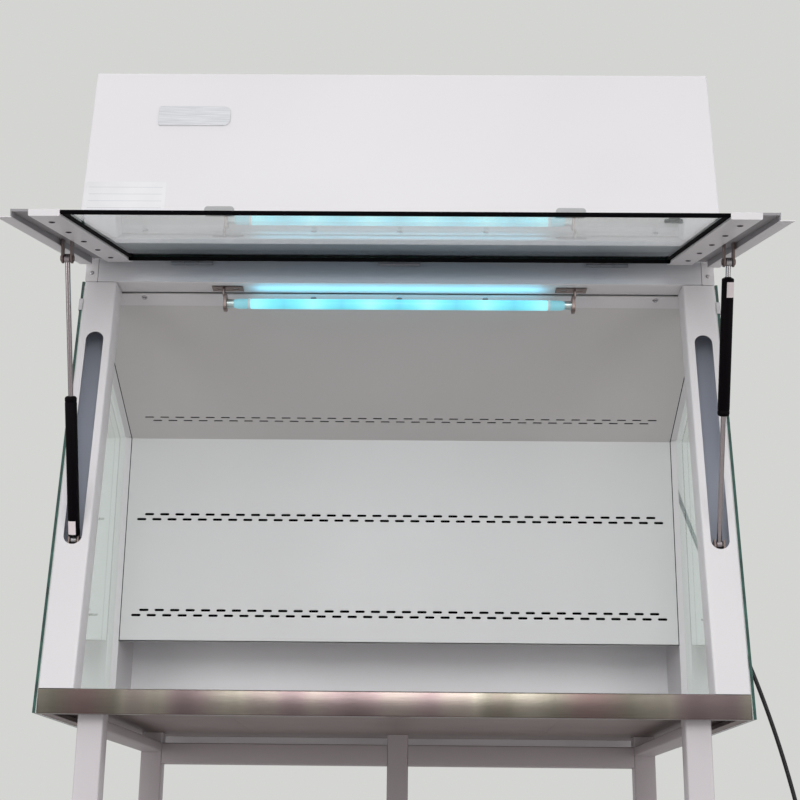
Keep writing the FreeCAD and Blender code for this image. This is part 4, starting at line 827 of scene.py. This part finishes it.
baffle_y = F + BAFFLE_BACK
upright = slit_panel(BAFFLE_LOW, BAFFLE_TOP, [(389, 34), (379, 35), (201.5, 34), (191.5, 35)])
hem = block((-BAFFLE_HALF, baffle_y, T + BAFFLE_LOW), (BAFFLE_HALF, baffle_y + 12, T + BAFFLE_LOW + SHEET))
back_baffle = piece("upright_baffle", [*standing(upright, baffle_y, T), hem], "cabinet", chamber_paint,
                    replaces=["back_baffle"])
slope = math.radians(CEILING_SLOPE)
slope_run = (OPENING - 0.3 - BAFFLE_TOP - SHEET * math.cos(slope)) / math.sin(slope)
sloping = slit_panel(-slope_run, 0, [(-67, 34), (-57, 33)])
folded_strip = carried(rounded(rectangle(-slope_run + 1, -0.6, -slope_run + 30, -0.05), 0.2, 2), -531, 531)
ceiling = piece("sloping_baffle", sloping + [folded_strip], "cabinet", [ceiling_painted_shade, light_paint],
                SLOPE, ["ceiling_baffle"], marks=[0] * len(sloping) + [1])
# painted shade: black strips behind and above the slits stand for the dark behind them
behind = [block((-SHADE_STRIP_HALF, baffle_y + 5, T + start), (SHADE_STRIP_HALF, baffle_y + 6, T + end))
          for start, end in ((183, 210), (371, 398))]
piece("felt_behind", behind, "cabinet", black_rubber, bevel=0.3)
shade_above_slits = carried(rectangle(-77, 5, -47, 6), -SHADE_STRIP_HALF, SHADE_STRIP_HALF)
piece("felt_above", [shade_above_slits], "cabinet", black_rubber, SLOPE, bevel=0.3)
print("baffles", len(back_baffle.data.polygons) + len(ceiling.data.polygons), "faces")

# %% [markdown]
# ## Posts with their slots
#
# Each post is a square tube that leans back, cut level at the bench and at the beam. The strut lives inside
# it, behind a long round-ended slot. The tube's outline is rounded and carried up, and the front wall is
# the slit cell again, now upright and large. Its inside is painted darker and bluer than its face, as painted
# shade inside the tube.


# %% Posts
POST_WIDE, POST_DEEP, POST_ROUND, POST_TOP = 55, 50, 3.0, OPENING - 1
SLOT_LOW, SLOT_HIGH, SLOT_ROUND = 248, 601, 15
ARC = 13


def level_cut(points_y, height):
    """How far up the leaning tube a level cut lies, for points so far back in the tube."""
    a = math.radians(POST_LEAN)
    return (height + np.asarray(points_y) * math.sin(a)) / math.cos(a)


def open_tube(outline, low_z, high_z):
    """The outline carried up between two level cuts, without its closing side."""
    n = len(outline)
    rings = [np.column_stack([outline, level_cut(outline[:, 1], z)]) for z in (low_z, high_z)]
    return np.vstack(rings), grid_faces(2, n, closed_columns=False).tolist()


def slotted_wall(u0, u1):
    """The front wall: a ring of quads between its border and the slot, in front and behind, and the slot's
    edge. The slot is a half circle up, then one down, and the border is cut level at both ends."""
    a = np.linspace(0, math.pi, ARC)
    centre = (u0 + u1) / 2
    upper = np.column_stack([centre + SLOT_ROUND * np.cos(a), SLOT_HIGH + SLOT_ROUND * np.sin(a)])
    lower = np.column_stack([centre - SLOT_ROUND * np.cos(a), SLOT_LOW - SLOT_ROUND * np.sin(a)])
    slot = np.vstack([upper, lower])
    tops, bottoms = np.linspace(u1, u0, ARC), np.linspace(u0, u1, ARC)

    def border(depth):
        return np.vstack([np.column_stack([tops, np.full(ARC, level_cut(depth, POST_TOP))]),
                          np.column_stack([bottoms, np.full(ARC, level_cut(depth, 0))])])

    layers = [(border(0), 0), (slot, 0), (slot, SHEET), (border(SHEET), SHEET)]
    points = [np.column_stack([flat[:, 0], np.full(2 * ARC, depth), flat[:, 1]]) for flat, depth in layers]
    return np.vstack(points), grid_faces(4, 2 * ARC).tolist()


def opened(outline, x, y):
    """The outline with its points shifted round, so that it starts at the one nearest to a place."""
    first = int(np.argmin(np.hypot(outline[:, 0] - x, outline[:, 1] - y)))
    return np.roll(outline, -first, 0)


def post_shapes(left):
    """Outer skin, inner skin and slotted wall of one post, whose left side is at the given place."""
    wall_left, wall_right = left + POST_ROUND, left + POST_WIDE - POST_ROUND
    hull = rounded(rectangle(left, 0, left + POST_WIDE, POST_DEEP), POST_ROUND, 5)
    bore = rounded(rectangle(left + SHEET, SHEET, left + POST_WIDE - SHEET, POST_DEEP - SHEET),
                   POST_ROUND - SHEET, 5)
    return [open_tube(opened(hull, wall_right, 0), 0, POST_TOP),
            open_tube(opened(bore, wall_right, SHEET), 0, POST_TOP), slotted_wall(wall_left, wall_right)]


# painted shade: the lining inside the post is darker and bluer than its face, for the shade inside the tube
lining_painted_shade = painted("shaded post lining", (186, 191, 202), rough=0.5)
for name, left in (("left", -INSIDE), ("right", INSIDE - POST_WIDE)):
    post = piece(name + "_slotted_post", post_shapes(left), "cabinet", [light_paint, lining_painted_shade],
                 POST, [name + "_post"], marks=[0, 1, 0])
print("posts", len(post.data.polygons), "faces each")

# %% [markdown]
# ## Side panes
#
# A pane covers each whole side. Its outline leans with the post in front and is upright behind; the faces
# get the clear material and the narrow edges the dark green one. A small bevel catches the light
# along the polished edge.


# %% Side glass
def side_pane(x0, x1):
    """The pane's outline in y and z, carried through its thickness, as two groups: faces and edges."""
    lean = math.tan(math.radians(POST_LEAN))
    outline = np.array([(F - APRON * lean, T - APRON), (B - SHEET, T - APRON), (B - SHEET, T + OPENING),
                        (F + OPENING * lean, T + OPENING)])
    points, quads = carried(outline, x0, x1)
    return (points, quads[4:]), (points, quads[:4])


for name, x0, x1 in (("left_side", -HALF, -INSIDE), ("right_side", INSIDE, HALF)):
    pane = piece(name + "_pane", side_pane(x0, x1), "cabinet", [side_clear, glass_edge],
                 replaces=[name + "_glass"], bevel=0.5, marks=[0, 1])
print("two panes of", len(pane.data.polygons), "faces")

# %% [markdown]
# ## The hood
#
# One folded cover makes the front, the roof and the cheeks, and its folds catch a thin bright line. Seen from
# above, every level of it is the same rounded rectangle, only its front edge moves back as the face
# leans. So the cover is a stack of such rings: up the outside, over the fold, across the roof to the
# exhaust's hole, and back down the inside.


# %% Hood cover
def hood_ring(z, inset, radius):
    """One level: the front edge lies a share of the height further back, and the other sides only move in."""
    lean = math.radians(HOOD_LEAN)
    front_y = F + HOOD_BACK + (z - T - HOOD_LOW) * math.tan(lean) + inset / math.cos(lean)
    flat = rounded(rectangle(-HALF + inset, front_y, HALF - inset, B - SHEET - inset), radius, 4)
    return np.column_stack([flat, np.full(len(flat), z)])


def hole_ring(z):
    """The exhaust hole's edge, with as many points as a level of the cover."""
    flat = rounded(rectangle(-280, F + 250, 280, F + 510), 4, 4)
    return np.column_stack([flat, np.full(len(flat), z)])


eaves, roof, fold = T + HOOD_LOW, T + HOOD_TOP, 3
turns = np.radians([0, 25, 50, 70, 90])
levels = [hood_ring(eaves, 0, fold)]
levels += [hood_ring(roof - fold + fold * math.sin(a), fold - fold * math.cos(a), fold) for a in turns]
levels += [hole_ring(roof), hole_ring(roof - SHEET), hood_ring(roof - SHEET, fold, 2),
           hood_ring(roof - 4, SHEET, 1.6), hood_ring(eaves, SHEET, 1.6)]
cover = (np.vstack(levels), grid_faces(len(levels), len(levels[0]), closed_rows=True).tolist())
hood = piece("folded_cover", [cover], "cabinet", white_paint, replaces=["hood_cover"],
             crisp=30)
print("hood", len(hood.data.polygons), "faces")

# %% [markdown]
# ## Badge, blank label and stop
#
# On the hood's front sit a bare silver plate with round corners, a pale blank label near the left edge, and
# a small rubber stop that the raised sash meets. They are drawn flat on the leaning front.


# %% Badge, label and stop
def up_front(height):
    """How far up the leaning front a height over the bench lies."""
    return (height - HOOD_LOW) * (1 / math.cos(math.radians(HOOD_LEAN)))


badge_low = up_front(994)
badge_outline = rounded(rectangle(-431, badge_low, -303, badge_low + 41), (4, 12, 12, 4), 6)
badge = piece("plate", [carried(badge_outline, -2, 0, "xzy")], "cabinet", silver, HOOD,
              ["badge_plate"], bevel=0.5)
label_outline = rounded(rectangle(-546, up_front(812), -406, up_front(876)), 2, 3)
rules = [carried(rectangle(-540, v, -412, v + 0.8), -0.38, -0.3, "xzy") for v in (70, 84, 98, 112)]
label_paper = moulded("label film", (222, 222, 224), rough=0.5, grain=0.02)
label_rule = moulded("label rules", (196, 198, 202), rough=0.5, grain=0.02)
piece("blank_label", [carried(label_outline, -0.3, -0.01, "xzy"), *rules], "cabinet",
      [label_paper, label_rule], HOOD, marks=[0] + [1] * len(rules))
stop_up = up_front(802)
stop_base = carried(rounded(rectangle(454, stop_up - 4, 486, stop_up + 4), 1.5, 3), -1.5, 0, "xzy")
stop_nose = carried(rounded(rectangle(460.5, stop_up - 4, 479.5, stop_up + 4), 2, 4), -8, -1.5, "xzy")
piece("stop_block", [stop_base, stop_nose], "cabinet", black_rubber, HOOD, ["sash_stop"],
      bevel=0.5)
print("badge", len(badge.data.polygons), "faces")

# %% [markdown]
# ## Beam and headers
#
# Over the opening lies a box beam between two narrower headers. They are seamed tubes, so their
# long edges are round.


# %% Square tubes
def tube(low, high, axis, radius=2.0):
    """A box section along an axis with rounded long edges; the corners go from low to high."""
    (x0, y0, z0), (x1, y1, z1) = low, high
    if axis == "x":
        return carried(rounded(rectangle(y0, z0, y1, z1), radius, 4), x0, x1)
    if axis == "y":
        return carried(rounded(rectangle(x0, z0, x1, z1), radius, 4), y0, y1, "xzy")
    return carried(rounded(rectangle(x0, y0, x1, y1), radius, 4), z0, z1, "xyz")


chamber, beam_top, beam_y, beam_end = T + OPENING, T + HOOD_LOW, F + 102, 523
beam_tube = tube((-beam_end, beam_y + 0.4, chamber), (beam_end, beam_y + 50, beam_top), "x")
# The front skin carries the beam's painted shade.
beam_skin = tube((-beam_end, beam_y, chamber + 0.8), (beam_end, beam_y + 1, beam_top - 0.8), "x", 0.4)
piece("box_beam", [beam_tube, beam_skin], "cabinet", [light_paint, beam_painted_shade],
      replaces=["cross_beam"], marks=[0, 1])
header = tube((-INSIDE, beam_y, chamber), (-beam_end - 0.8, B - SHEET, beam_top), "y")
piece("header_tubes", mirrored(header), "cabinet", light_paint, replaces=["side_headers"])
print("beam and headers")

# %% [markdown]
# ## The stand
#
# The legs are square tubes with rounded edges. The front ones are painted like the housing; the rear ones,
# the centre post and the upper rails are painted darker, as painted shade under the bench. The tube's
# section is carried up or along: four legs, a post between the rear ones and seven rails.

# %% Stand
TUBE, LOW_TUBE, FOOT_UP, RAIL_UP = 40, 30, 24, 150
leg_out, leg_in, leg_top, rear, near_y = -488, -448, T - PAN, F + 586, F + 30
legs = mirrored(tube((leg_out, near_y, FOOT_UP), (leg_in, near_y + TUBE, leg_top), "z", 3),
                tube((leg_out, rear, FOOT_UP), (leg_in, rear + TUBE, leg_top), "z", 3))
# painted shade: the rear legs, the centre post and the upper rails get a darker coat, for the shade under the
# bench
rear_painted_shade = painted("shaded stand enamel", (182, 174, 176), rough=0.4)
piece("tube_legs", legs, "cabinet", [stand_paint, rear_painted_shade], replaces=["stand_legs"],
      marks=[0, 1, 0, 1])
middle_post = tube((-TUBE / 2, rear, RAIL_UP + LOW_TUBE), (TUBE / 2, rear + TUBE, leg_top), "z", 3)
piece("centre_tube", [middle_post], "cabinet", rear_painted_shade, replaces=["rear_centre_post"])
rail_high = leg_top - 18.5
rails = mirrored(tube((leg_in, rear, rail_high - 38.5), (-TUBE / 2, rear + TUBE, rail_high), "x", 3),
                 tube((leg_out, near_y + TUBE, rail_high - 17), (leg_in, rear, rail_high), "y", 3))
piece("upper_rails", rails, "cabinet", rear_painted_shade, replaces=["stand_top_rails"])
low_rails = [*mirrored(tube((leg_out, near_y + TUBE, RAIL_UP),
                            (leg_out + LOW_TUBE, rear, RAIL_UP + LOW_TUBE), "y", 3)),
             tube((leg_in, rear, RAIL_UP), (-leg_in, rear + LOW_TUBE, RAIL_UP + LOW_TUBE), "x", 3)]
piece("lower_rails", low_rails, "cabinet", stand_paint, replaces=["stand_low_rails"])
print("stand of", len(legs) + 1 + len(rails) + len(low_rails), "tubes")

# %% [markdown]
# ## Feet
#
# A levelling foot is turned steel: a pad with a rounded rim, a hexagon to turn it by and a threaded stud.
# The thread is a row of small rings, as it has the same look from a step away.

# %% Levelling feet
thread = [(5.0 - 0.5 * (k % 2), 14 + 0.75 * k) for k in range(14)]
foot_profile = [(0, 0), (19, 0), (20, 1), (20, 4), (18.5, 6), (10, 7.5), (7, 8), (7, 10), *thread, (5, 54),
                (0, 54)]
nut_ring = carried(ring(9, 6), 8.2, 13.4, "xyz")
feet = []
for y in (near_y + TUBE / 2, rear + TUBE / 2):
    under_leg = (leg_out + TUBE / 2, y, 0)
    feet += [lathed(foot_profile, "z", under_leg, 28), (nut_ring[0] + under_leg, nut_ring[1])]
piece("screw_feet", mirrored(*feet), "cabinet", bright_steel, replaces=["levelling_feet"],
      crisp=40)
print("four feet")

# %% [markdown]
# ## Sash rails
#
# The glass hangs in a folded frame. A side rail has an inner flange that lies on the glass, a groove where
# the strut's ears sit, an upright web beside it and a thin outer wing; groove and web are painted darker, as
# painted shade. Each is drawn across and carried along the rail. Near the hinge the wing gives way to a
# thicker end.


# %% Side rails
def box_outline(x0, z0, x1, z1, radius):
    """A rounded rectangle of sixteen points."""
    return rounded(rectangle(x0, z0, x1, z1), radius, 4)


FREE, WING_STOP, RAIL_STOP = -530, -24, -8
GLASS_SIDE, WEB_X, THICK = -462, -529, 10


def sheared(shape, rise):
    """Lifts what lies below the sash's plane by a height that grows evenly towards the free end."""
    points, quads = shape
    points = points.copy()
    points[:, 2] += np.where(points[:, 2] < 0, rise * (WING_STOP - points[:, 1]) / (WING_STOP - FREE), 0)
    return points, quads


wing = sheared(carried(box_outline(-HALF, -6, WEB_X, -4.4, 0.7), FREE, WING_STOP, "xzy"), 4)
web = sheared(carried(rectangle(WEB_X - 1.6, -5.2, WEB_X, THICK), FREE + 0.2, WING_STOP, "xzy"), 4)
wing_end = carried(box_outline(-HALF, 4, WEB_X, THICK, 2), WING_STOP, RAIL_STOP, "xzy")
groove = carried(rectangle(WEB_X - 0.5, 6, -505.5, 9.8), FREE + 0.5, RAIL_STOP, "xzy")
flange = carried(box_outline(-506, 0, GLASS_SIDE, THICK, 1.8), FREE, RAIL_STOP, "xzy")
rail_shapes = mirrored(wing, web, wing_end, groove, flange)
# painted shade: the groove and the web beside it get a darker grey, for the shade in the fold
groove_painted_shade = painted("shaded groove coat", (146, 144, 147), rough=0.5)
for name, one_rail in (("left", rail_shapes[:5]), ("right", rail_shapes[5:])):
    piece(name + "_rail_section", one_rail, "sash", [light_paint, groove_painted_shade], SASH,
          [name + "_sash_rail"], bevel=0.4, marks=[0, 1, 0, 1, 0])
cross_rail = tube((GLASS_SIDE, -39, 2), (-GLASS_SIDE, RAIL_STOP, THICK), "x", 1.5)
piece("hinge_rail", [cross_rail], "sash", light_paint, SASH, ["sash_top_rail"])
print("rails of the sash")

# %% [markdown]
# ## The rubber edge and the pane
#
# A black channel runs round the glass, and a strip of the same rubber hangs at the hinge side. The channel's
# small section goes round a rectangle with mitred corners: each point of the section becomes four
# corners, drawn in by the point's own distance.


# %% Gasket and glass
def mitred(low, high, section):
    """A section of (inset, height) points taken round a rectangle; the corners shrink by the inset."""
    signs = np.array([(1, 1), (-1, 1), (-1, -1), (1, -1)])
    corners = np.array([low, (high[0], low[1]), high, (low[0], high[1])])
    s = np.asarray(section, float)
    flat = corners[None] + signs[None] * s[:, :1, None]
    points = np.concatenate([flat, np.broadcast_to(s[:, 1:, None], (len(s), 4, 1))], axis=-1)
    return points.reshape(-1, 3), grid_faces(len(s), 4, closed_rows=True).tolist()


channel = rounded([(0, 3.3), (9, 3.3), (9, 4.1), (2.2, 4.1), (2.2, 8.0), (9, 8.0), (9, 8.8), (0, 8.8)],
                  (0.8, 0.4, 0.2, 0, 0, 0.2, 0.4, 0.8), 3)
drop = carried(box_outline(-50, -1.6, -40, 4, 1.2), -461, 461)
piece("edge_rubber", [mitred((GLASS_SIDE, FREE), (-GLASS_SIDE, -39), channel), drop], "sash", black_rubber,
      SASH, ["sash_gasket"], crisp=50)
glass_points, glass_faces = carried(rectangle(-459.8, -527.8, 459.8, -41.2), 4.3, 7.8, "xyz")
piece("sash_pane", [(glass_points, glass_faces[4:]), (glass_points, glass_faces[:4])], "sash",
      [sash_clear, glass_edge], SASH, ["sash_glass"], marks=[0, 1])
print("gasket and pane")

# %% [markdown]
# ## Finger pulls
#
# Two moulded pulls are glued to the glass near its free edge. Each has a ribbed foot and an upright blade
# with round top corners.

# %% Pulls
ripple = np.linspace(0, 1, 37)
rib_top = np.column_stack([18 * (1 - ripple), 2.4 + 0.5 * np.abs(np.cos(ripple * 6 * math.pi))])
base_outline = np.vstack([[(0, 0), (18, 0)], rib_top])
foot_part = carried(base_outline, -21, 21)
blade_outline = rounded(rectangle(-21, 1, 21, 12), (0, 0, 5, 5), 6)
blade = carried(blade_outline, 1, 5.5, "xzy")
gusset = carried([(5, 1), (11, 1), (5, 6)], -18, 18)
pulls = [(points + (-246, -500, 7.8), faces) for points, faces in (foot_part, blade, gusset)]
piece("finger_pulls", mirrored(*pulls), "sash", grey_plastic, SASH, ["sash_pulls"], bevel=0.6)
print("two pulls")

# %% [markdown]
# ## Screws
#
# Pan heads on the ceiling's strip and the headers, and dark countersunk ones in the sash rails. All
# are turned shapes: a dome with a recess in the middle.


# %% Screw heads
def head(radius, proud, recess=0.45):
    """A dome that stands out along the axis with a driver's recess: (radius, height) from the rim inwards."""
    return [(radius, 0), (radius, proud * 0.35), (radius * 0.86, proud * 0.8), (radius * 0.6, proud),
            (radius * recess, proud), (radius * recess * 0.75, proud * 0.3), (0, proud * 0.3)]


HEAD_SIDES = 18
down = np.array(head(3.6, 1.6)) * (1, -1)
ceiling_y = -slope_run + 9
wide_dome = down * (1.4, 1)
in_slope = [lathed(wide_dome, "z", (x, ceiling_y, -0.6), HEAD_SIDES) for x in (0, 152, -152, 452, -452)]
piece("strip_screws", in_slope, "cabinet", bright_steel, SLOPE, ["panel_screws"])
on_headers = [lathed(down, "y", (x, beam_y, chamber + 16), HEAD_SIDES) for x in (-534, 534)]
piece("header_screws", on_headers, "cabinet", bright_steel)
countersunk = np.array([(4.6, 0), (4.6, -0.5), (4.0, -1.1), (3.2, -1.3), (2.6, -0.9), (1.5, -0.3), (0, -0.3)])
dark_steel = brushed("blackened steel", (70, 66, 72), rough=0.35, along="Z", depth=0.1)
sunk = [lathed(countersunk, "z", (-487, -72 - 100.2 * k, 0), 20) for k in range(5)]
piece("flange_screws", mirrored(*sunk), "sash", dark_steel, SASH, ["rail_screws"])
print("screws")

# %% [markdown]
# ## Gas struts
#
# A strut is a painted steel can, rolled in at its end round the rod, with an eye at either end. The left one
# stands on its can and the right one hangs by it, as the photograph shows. Each is turned about its own
# leaning axis, and the plain pale patch is a thin sleeve segment on the paint.


# %% Struts
CAN_RADIUS = 9.5


def can_profile(low, high, mouth):
    """A can from low to high; its rolled end is at the mouth, the other end is welded and domed."""
    rolled = [(4.3, 0), (6.8, 0.2), (8.6, 1.4), (CAN_RADIUS, 3.6), (CAN_RADIUS, 8.0), (9.1, 8.7), (9.1, 9.9),
              (CAN_RADIUS, 10.6)]
    weld = [(CAN_RADIUS, 2.0), (8.9, 0.7), (7.4, 0), (4.0, -2.0), (0, -2.0)]
    if mouth == "top":
        return [(r, low + h) for r, h in weld[::-1]] + [(r, high - h) for r, h in rolled[::-1]] + [(0, high)]
    return [(0, low)] + [(r, low + h) for r, h in rolled] + [(r, high - h) for r, h in weld]


def eye(x, s):
    """A flat eye with chamfered rims, turned about its pin."""
    rim = [(0, -4.7), (6.2, -4.7), (7, -3.9), (7, 3.9), (6.2, 4.7), (0, 4.7)]
    return lathed(rim, "x", (x, 0, s), 28)


def neck(x, low, high):
    """A plain rod between two places."""
    return lathed([(0, low), (4, low), (4, high), (0, high)], "z", (x, 0, 0), 24)


def patch(x, low, high, middle, count=15):
    """A sleeve segment: 84 degrees of the can's surface, a hair proud of the paint."""
    a = np.radians(middle + np.linspace(-42, 42, count))
    under, over = CAN_RADIUS + 0.02, CAN_RADIUS + 0.12
    arcs = [np.column_stack([x + radius * np.cos(a), radius * np.sin(a), np.full(count, z)])
            for radius, z in ((under, low), (over, low), (over, high), (under, high))]
    ends = [[corner + count * k for k in range(4)] for corner in (0, count - 1)]
    return np.vstack(arcs), grid_faces(4, count, closed_rows=True, closed_columns=False).tolist() + ends


pale_patch = moulded("blank film", (222, 212, 214), rough=0.45, grain=0.02)
print("a can's profile has", len(can_profile(0, 200, "top")), "points")

# %% The two struts
# Each row: the side, the can's ends and its rolled end, the neck and eye on the can, the patch's place and
# turn, and the rod with its eye. Lengths run up the strut from its lower pin to the upper one at PINS.
PINS, STRUT_X, SHANK = 451.909, 517.5, 12.0
left_low, left_high = SHANK - 4, SHANK + 222
right_low, right_high = PINS - 243, PINS - SHANK - 13
struts = [
    ("left", -STRUT_X, (left_low, left_high, "top"), (4, SHANK), 0, (left_low + 3, left_low + 25, -102),
     (left_high - 14, PINS - 4), PINS),
    ("right", STRUT_X, (right_low, right_high, "bottom"), (right_high, PINS - 4), PINS,
     (right_high - 30, right_high - 6, -66), (4, right_low + 14), 0)]
for side, x, can, can_neck, can_eye, film, rod, rod_eye in struts:
    shapes = [lathed(can_profile(*can), "z", (x, 0, 0), 36), neck(x, *can_neck), eye(x, can_eye),
              patch(x, *film)]
    piece(side + "_can_body", shapes, side + "_cylinder", [black_paint, bright_steel, pale_patch],
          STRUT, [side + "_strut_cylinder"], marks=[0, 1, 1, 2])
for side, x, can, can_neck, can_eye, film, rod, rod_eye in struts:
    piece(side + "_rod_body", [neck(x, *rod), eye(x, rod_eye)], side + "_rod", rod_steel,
          STRUT, [side + "_strut_rod"])
print("two struts")

# %% [markdown]
# ## The lamp
#
# A mercury tube glows cyan, a little unevenly: brighter bands come and go along it. A bright ring ends
# the glow at each side. Beyond it the glass is clear and dim, with a faint painted glow of the tube's light,
# and a thin cap holds it in an end plate that hangs from a slotted sheet.

# %% Lamp material
BAND = 0.05
glow = Recipe("lamp glow", (0.10, 0.45, 0.50), 0.3)
to_and_fro = glow.node("Math", operation="PINGPONG")
glow.wire(glow.along("X"), to_and_fro.inputs[0])
to_and_fro.inputs[1].default_value = BAND
share = glow.range(to_and_fro.outputs[0], 0.0, 1.0, BAND)
tint = glow.ramp(share, (0.0, (0.13, 0.50, 0.64)), (0.45, (0.18, 0.66, 0.80)), (1.0, (0.36, 0.84, 0.92)))
glow.wire(tint, glow.shader.inputs["Emission Color"])
glow.shader.inputs["Emission Strength"].default_value = 0.92
collar = brushed("lamp cap", (206, 226, 226), rough=0.3, along="X", depth=0.1)
# painted glow: the clear ends give off a faint cyan light of their own, for the tube's light in their glass
dim = Recipe("clear lamp end", (0.22, 0.55, 0.62), 0.15)
dim.colour(dim.ramp(dim.noise(40.0), (0.3, (0.20, 0.50, 0.58)), (0.7, (0.28, 0.62, 0.70))))
dim.set(dim.shader, **{"Emission Color": (0.25, 0.62, 0.72, 1), "Emission Strength": 0.35})
print("lamp glow")

# %% Lamp tube and holders
lamp_y, under_roof = F + LAMP_BACK, chamber - SHEET
lamp_at = (0, lamp_y, T + LAMP_UP)
lit_tube = lathed([(0, -259), (8.2, -259), (9, -257), (9, 257), (8.2, 259), (0, 259)], "x", lamp_at, 32)
bright_ring = lathed([(0, 259), (9.8, 259), (9.8, 262.5), (0, 262.5)], "x", lamp_at, 32)
clear_end = lathed([(0, 262.5), (9, 262.5), (8.8, 282), (7.2, 288), (0, 288)], "x", lamp_at, 32)
cap = lathed([(0, 288), (7.6, 288), (7.6, 300), (0, 300)], "x", lamp_at, 24)
ends = mirrored(bright_ring, clear_end, cap)
piece("glow_tube", [lit_tube, *ends], "cabinet", [glow.material, white_plastic, dim.material, collar],
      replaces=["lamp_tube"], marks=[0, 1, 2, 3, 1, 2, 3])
plate_points, plate_quads = slit_row(np.array([-13.5, 13.5]), 0, (13.5, 12), (6, 2.5))
hanger = rounded(rectangle(-8, T + LAMP_UP + 13, 8, under_roof), 2, 4) + (lamp_y, 0)
end_plate = rounded(rectangle(lamp_y - 11, T + LAMP_UP - 13, lamp_y + 11, T + LAMP_UP + 15), (6, 6, 2, 2), 4)
holder = [(plate_points + (-300, lamp_y, under_roof), plate_quads), carried(hanger, -308, -305),
          carried(end_plate, -306, -300.3)]
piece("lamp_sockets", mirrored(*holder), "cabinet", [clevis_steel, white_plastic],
      replaces=["lamp_holders"], marks=[0] * 6, bevel=0.5)
print("lamp")

# %% [markdown]
# ## The rest of the solids
#
# Sheets and castings that are already right, or that stay hidden in the hood, keep their own shape and
# only get a finish.

# %% Finishes for the solids that stay
filter_paper = moulded("filter pleats", (216, 214, 204), rough=0.7, grain=0.5)
# painted shade: the hinge leaves get a dark blue-grey coat, for the shade they sit in
hinge_painted_shade = painted("shaded hinge coat", (112, 118, 126), rough=0.5)
# painted light: the rear wall under the baffle gets a paler white than the housing, for light the scene lacks
# in that recess
rear_wall_painted_light = painted("bright inner enamel", (244, 244, 246), rough=0.4)
finishes = {
    white_paint: ["exhaust_grille"],
    rear_wall_painted_light: ["rear_wall"],
    light_paint: ["rear_uprights", "ceiling_rails", "control_box"],
    hinge_painted_shade: ["fixed_hinge_leaves", "moving_hinge_leaves"],
    plain_steel: ["hood_floor", "blower_scroll", "blower_bracket", "blower_wheel"],
    bright_steel: ["glass_clips", "hinge_pins", "motor_shaft"],
    clevis_steel: ["strut_ears", "strut_foot_brackets"],
    black_rubber: ["baffle_seals"], dark_paint: ["blower_motor"], filter_paper: ["exhaust_filter"],
    black_plastic: ["leg_plugs", "switch_bezel", "switch_rocker"],
}
for coat, nodes in finishes.items():
    for node in nodes:
        finish(node, coat)
print(sum(len(nodes) for nodes in finishes.values()), "solids finished")

# %% [markdown]
# ## Finish
#
# The picture is shown plainly, without a film look, so that the colours are those of the recipes.

# %% Look
bpy.context.scene.view_settings.view_transform = "Standard"
